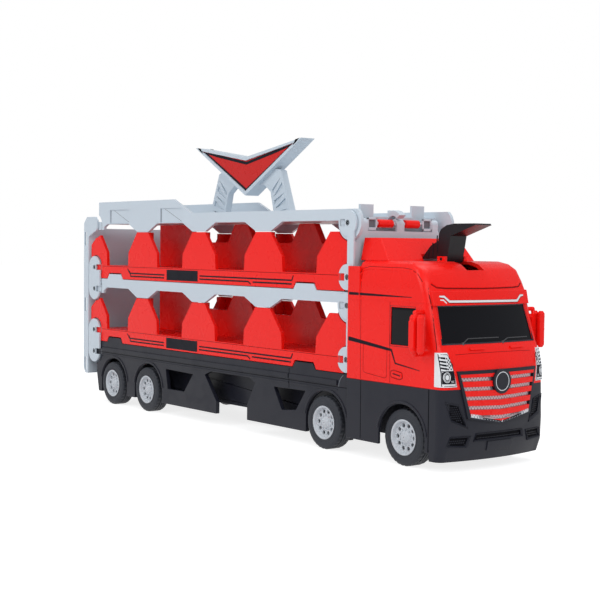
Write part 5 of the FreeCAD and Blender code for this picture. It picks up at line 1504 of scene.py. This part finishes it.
@dataclass
class TopTrack:
    """Dark edges and diagonal lines of the fields in the top track's walls."""

    places: tuple[float, ...] = (-160.0, -83.4)
    edge: tuple[Point, Point] = ((-14.6, 145.5), (-14.6, 155.7))
    edge_width: float = 0.8
    diagonal: tuple[Point, Point] = ((-9.1, 155.4), (14.1, 146.0))
    diagonal_width: float = 0.3
    diagonal_cell: float = 20.0
    fit: Fit = Fit(0.03, 0.03)

    def build(self) -> None:
        """Dress both walls."""
        for name, side in SIDES.items():
            skin = Skin(("track_4",), Plane.SIDE, side)
            dark = Form()
            pale = Form()
            for x in self.places:
                dark.ribbon(skin, shifted(self.edge, x, 0), self.edge_width, self.fit)
                pale.ribbon(skin, shifted(self.diagonal, x, 0), self.diagonal_width, self.fit,
                            cell=self.diagonal_cell)
            dark.piece(f"wall_field_edges_{name}", SHADE, "track_4")
            pale.piece(f"wall_field_lines_{name}", SHADE, "track_4")


@dataclass
class Solids:
    """The carried-over solids of the frame, which get their finish and softened edges."""

    edge: float = 0.35
    fine_edge: float = 0.18
    angle: float = 32
    weld: float = 0.002
    evenness: int = 80
    fine: tuple[str, ...] = ("grille_slats", "grille_frame", "badge", "rollers", "sign_faces", "visor")
    plain: tuple[str, ...] = ("axle_1", "axle_2", "axle_3", "axle_4", "grille_mesh", "carry_handle")

    def build(self) -> None:
        """Give every node its finish by the slot that the record names, and round its edges."""
        slots = {row["node"]: row["material_slot"] for row in frame["record"]["subparts"]}
        for name, node in frame["nodes"].items():
            finish = LEVER_BLACK if name == "lever" else NODE_FINISH[slots[name]]
            node.data.materials.clear()
            node.data.materials.append(finish.material())
            if name not in self.plain:
                node.modifiers.new("weld", "WELD").merge_threshold = self.weld * MM
                width = self.fine_edge if name in self.fine else self.edge
                soften(node, width, self.angle).weight = self.evenness
            log.info("solid %s wears %s", name, finish.name)


@dataclass
class Studio:
    """Pale floor, soft light and the camera."""

    eye: Place = (0.7065, -0.5362, 0.1282)
    gaze: Place = (-0.78597, 0.61677, -0.04292)
    roll: float = math.radians(-0.63)
    focal_share: float = 1238.5 / 600
    sensor: float = 36.0
    clip: tuple[float, float] = (0.01, 50)
    floor_half: float = 6000.0
    shade: Colour = (0.80, 0.80, 0.805)
    shadow: float = 0.45
    floor_glow: float = 0.80
    floor_roughness: float = 0.9
    floor_specular: float = 0.1
    sky: Colour = (0.93, 0.96, 1.0)
    sky_strength: float = 0.50
    aim: Place = (0.02, 0, 0.1)
    lamps: tuple[tuple[str, Place, float, float], ...] = (
        ("front_soft", (1.1, -0.5, 0.9), 0.9, 5.5),
        ("side_soft", (-0.3, -1.3, 0.9), 0.9, 7),
        ("top_soft", (0.1, 0.3, 1.4), 1.0, 7),
    )

    def camera(self) -> None:
        """Camera at the photograph's angle."""
        data = bpy.data.cameras.new("camera")
        data.sensor_width = self.sensor
        data.lens = self.focal_share * self.sensor
        data.clip_start, data.clip_end = self.clip
        made = bpy.data.objects.new("camera", data)
        bpy.context.scene.collection.objects.link(made)
        look = Vector(self.gaze).normalized()
        right = look.cross(Vector((0, 0, 1))).normalized()
        up = right.cross(look)
        turned_right = right * math.cos(self.roll) - up * math.sin(self.roll)
        turned_up = right * math.sin(self.roll) + up * math.cos(self.roll)
        turn = Matrix((turned_right, turned_up, -look)).transposed()
        made.matrix_world = Matrix.Translation(Vector(self.eye)) @ turn.to_4x4()
        bpy.context.scene.camera = made

    def pale(self, tree: Tree, shader: bpy.types.Node, output: bpy.types.Node) -> None:
        """Show white to the camera and to reflections, and the floor's own shade to the light.

        Args:
            tree: The floor's tree.
            shader: The floor's own shader.
            output: The material's output.
        """
        path = tree.node("LightPath")
        seen = tree.maths("MAXIMUM", path.outputs["Is Glossy Ray"], path.outputs["Is Transmission Ray"])
        glow = tree.node("Emission")
        glow.inputs["Color"].default_value = (1, 1, 1, 1)
        mixed = tree.node("MixShader")
        tree.link(seen, mixed.inputs[0])
        tree.link(shader.outputs[0], mixed.inputs[1])
        tree.link(glow.outputs[0], mixed.inputs[2])
        shade = tree.node("BsdfDiffuse")
        shade.inputs["Color"].default_value = (self.shadow, self.shadow, self.shadow, 1)
        base = tree.node("Emission")
        base.inputs["Strength"].default_value = self.floor_glow
        added = tree.node("AddShader")
        tree.link(shade.outputs[0], added.inputs[0])
        tree.link(base.outputs[0], added.inputs[1])
        viewed = tree.node("MixShader")
        tree.link(path.outputs["Is Camera Ray"], viewed.inputs[0])
        tree.link(mixed.outputs[0], viewed.inputs[1])
        tree.link(added.outputs[0], viewed.inputs[2])
        tree.link(viewed.outputs[0], output.inputs["Surface"])

    def floor(self) -> None:
        """Wide pale floor."""
        form = Form()
        form.bm.faces.new(form.ring([spot(Plane.TOP, a * self.floor_half, b * self.floor_half, 0)
                                     for a, b in ((-1, -1), (1, -1), (1, 1), (-1, 1))]))
        made = form.object("floor")
        material = bpy.data.materials.new("floor")
        material.use_nodes = True
        tree = Tree(material.node_tree)
        shader = material.node_tree.nodes["Principled BSDF"]
        shader.inputs["Base Color"].default_value = (*self.shade, 1)
        shader.inputs["Roughness"].default_value = self.floor_roughness
        shader.inputs["Specular IOR Level"].default_value = self.floor_specular
        self.pale(tree, shader, material.node_tree.nodes["Material Output"])
        made.data.materials.append(material)

    def world(self) -> None:
        """Soft even light from all sides, white behind the object."""
        made = bpy.data.worlds.new("studio")
        bpy.context.scene.world = made
        made.use_nodes = True
        tree = Tree(made.node_tree)
        light = made.node_tree.nodes["Background"]
        light.inputs["Color"].default_value = (*self.sky, 1)
        light.inputs["Strength"].default_value = self.sky_strength
        white = tree.node("Background")
        white.inputs["Color"].default_value = (1, 1, 1, 1)
        white.inputs["Strength"].default_value = 1.0
        path = tree.node("LightPath")
        mixed = tree.node("MixShader")
        tree.link(path.outputs["Is Camera Ray"], mixed.inputs[0])
        tree.link(light.outputs[0], mixed.inputs[1])
        tree.link(white.outputs[0], mixed.inputs[2])
        tree.link(mixed.outputs[0], made.node_tree.nodes["World Output"].inputs["Surface"])

    def lamp(self, name: str, place: Place, size: float, power: float) -> None:
        """Add a soft square lamp that faces the truck.

        Args:
            name: Its name.
            place: Where it stands.
            size: The length of its side.
            power: Its power in watts.
        """
        data = bpy.data.lights.new(name, "AREA")
        data.size = size
        data.energy = power
        made = bpy.data.objects.new(name, data)
        bpy.context.scene.collection.objects.link(made)
        made.location = place
        made.rotation_mode = "QUATERNION"
        made.rotation_quaternion = (Vector(self.aim) - Vector(place)).to_track_quat("-Z", "Y")

    def build(self) -> None:
        """Set the whole stage."""
        self.camera()
        self.floor()
        self.world()
        for row in self.lamps:
            self.lamp(*row)
        bpy.context.scene.view_settings.view_transform = "Standard"


def corners(low: Vector, high: Vector) -> list[list[float]]:
    """A box as plain lists."""
    return [list(low), list(high)]


def main() -> None:
    """Build and dress every piece, and set the studio."""
    logging.basicConfig(level=logging.INFO, format="%(name)s %(message)s")
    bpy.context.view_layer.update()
    Solids().build()
    for assembly in (DeckPrints(), CabSides(), CabFront(), Headlamps(), Grille(), Bumper(), Wheels(), Hinges(),
                     Mirrors(), Lever(), Chassis(), Handle(), TopTrack()):
        assembly.build()
    Studio().build()


if __name__ == "__main__":
    main()
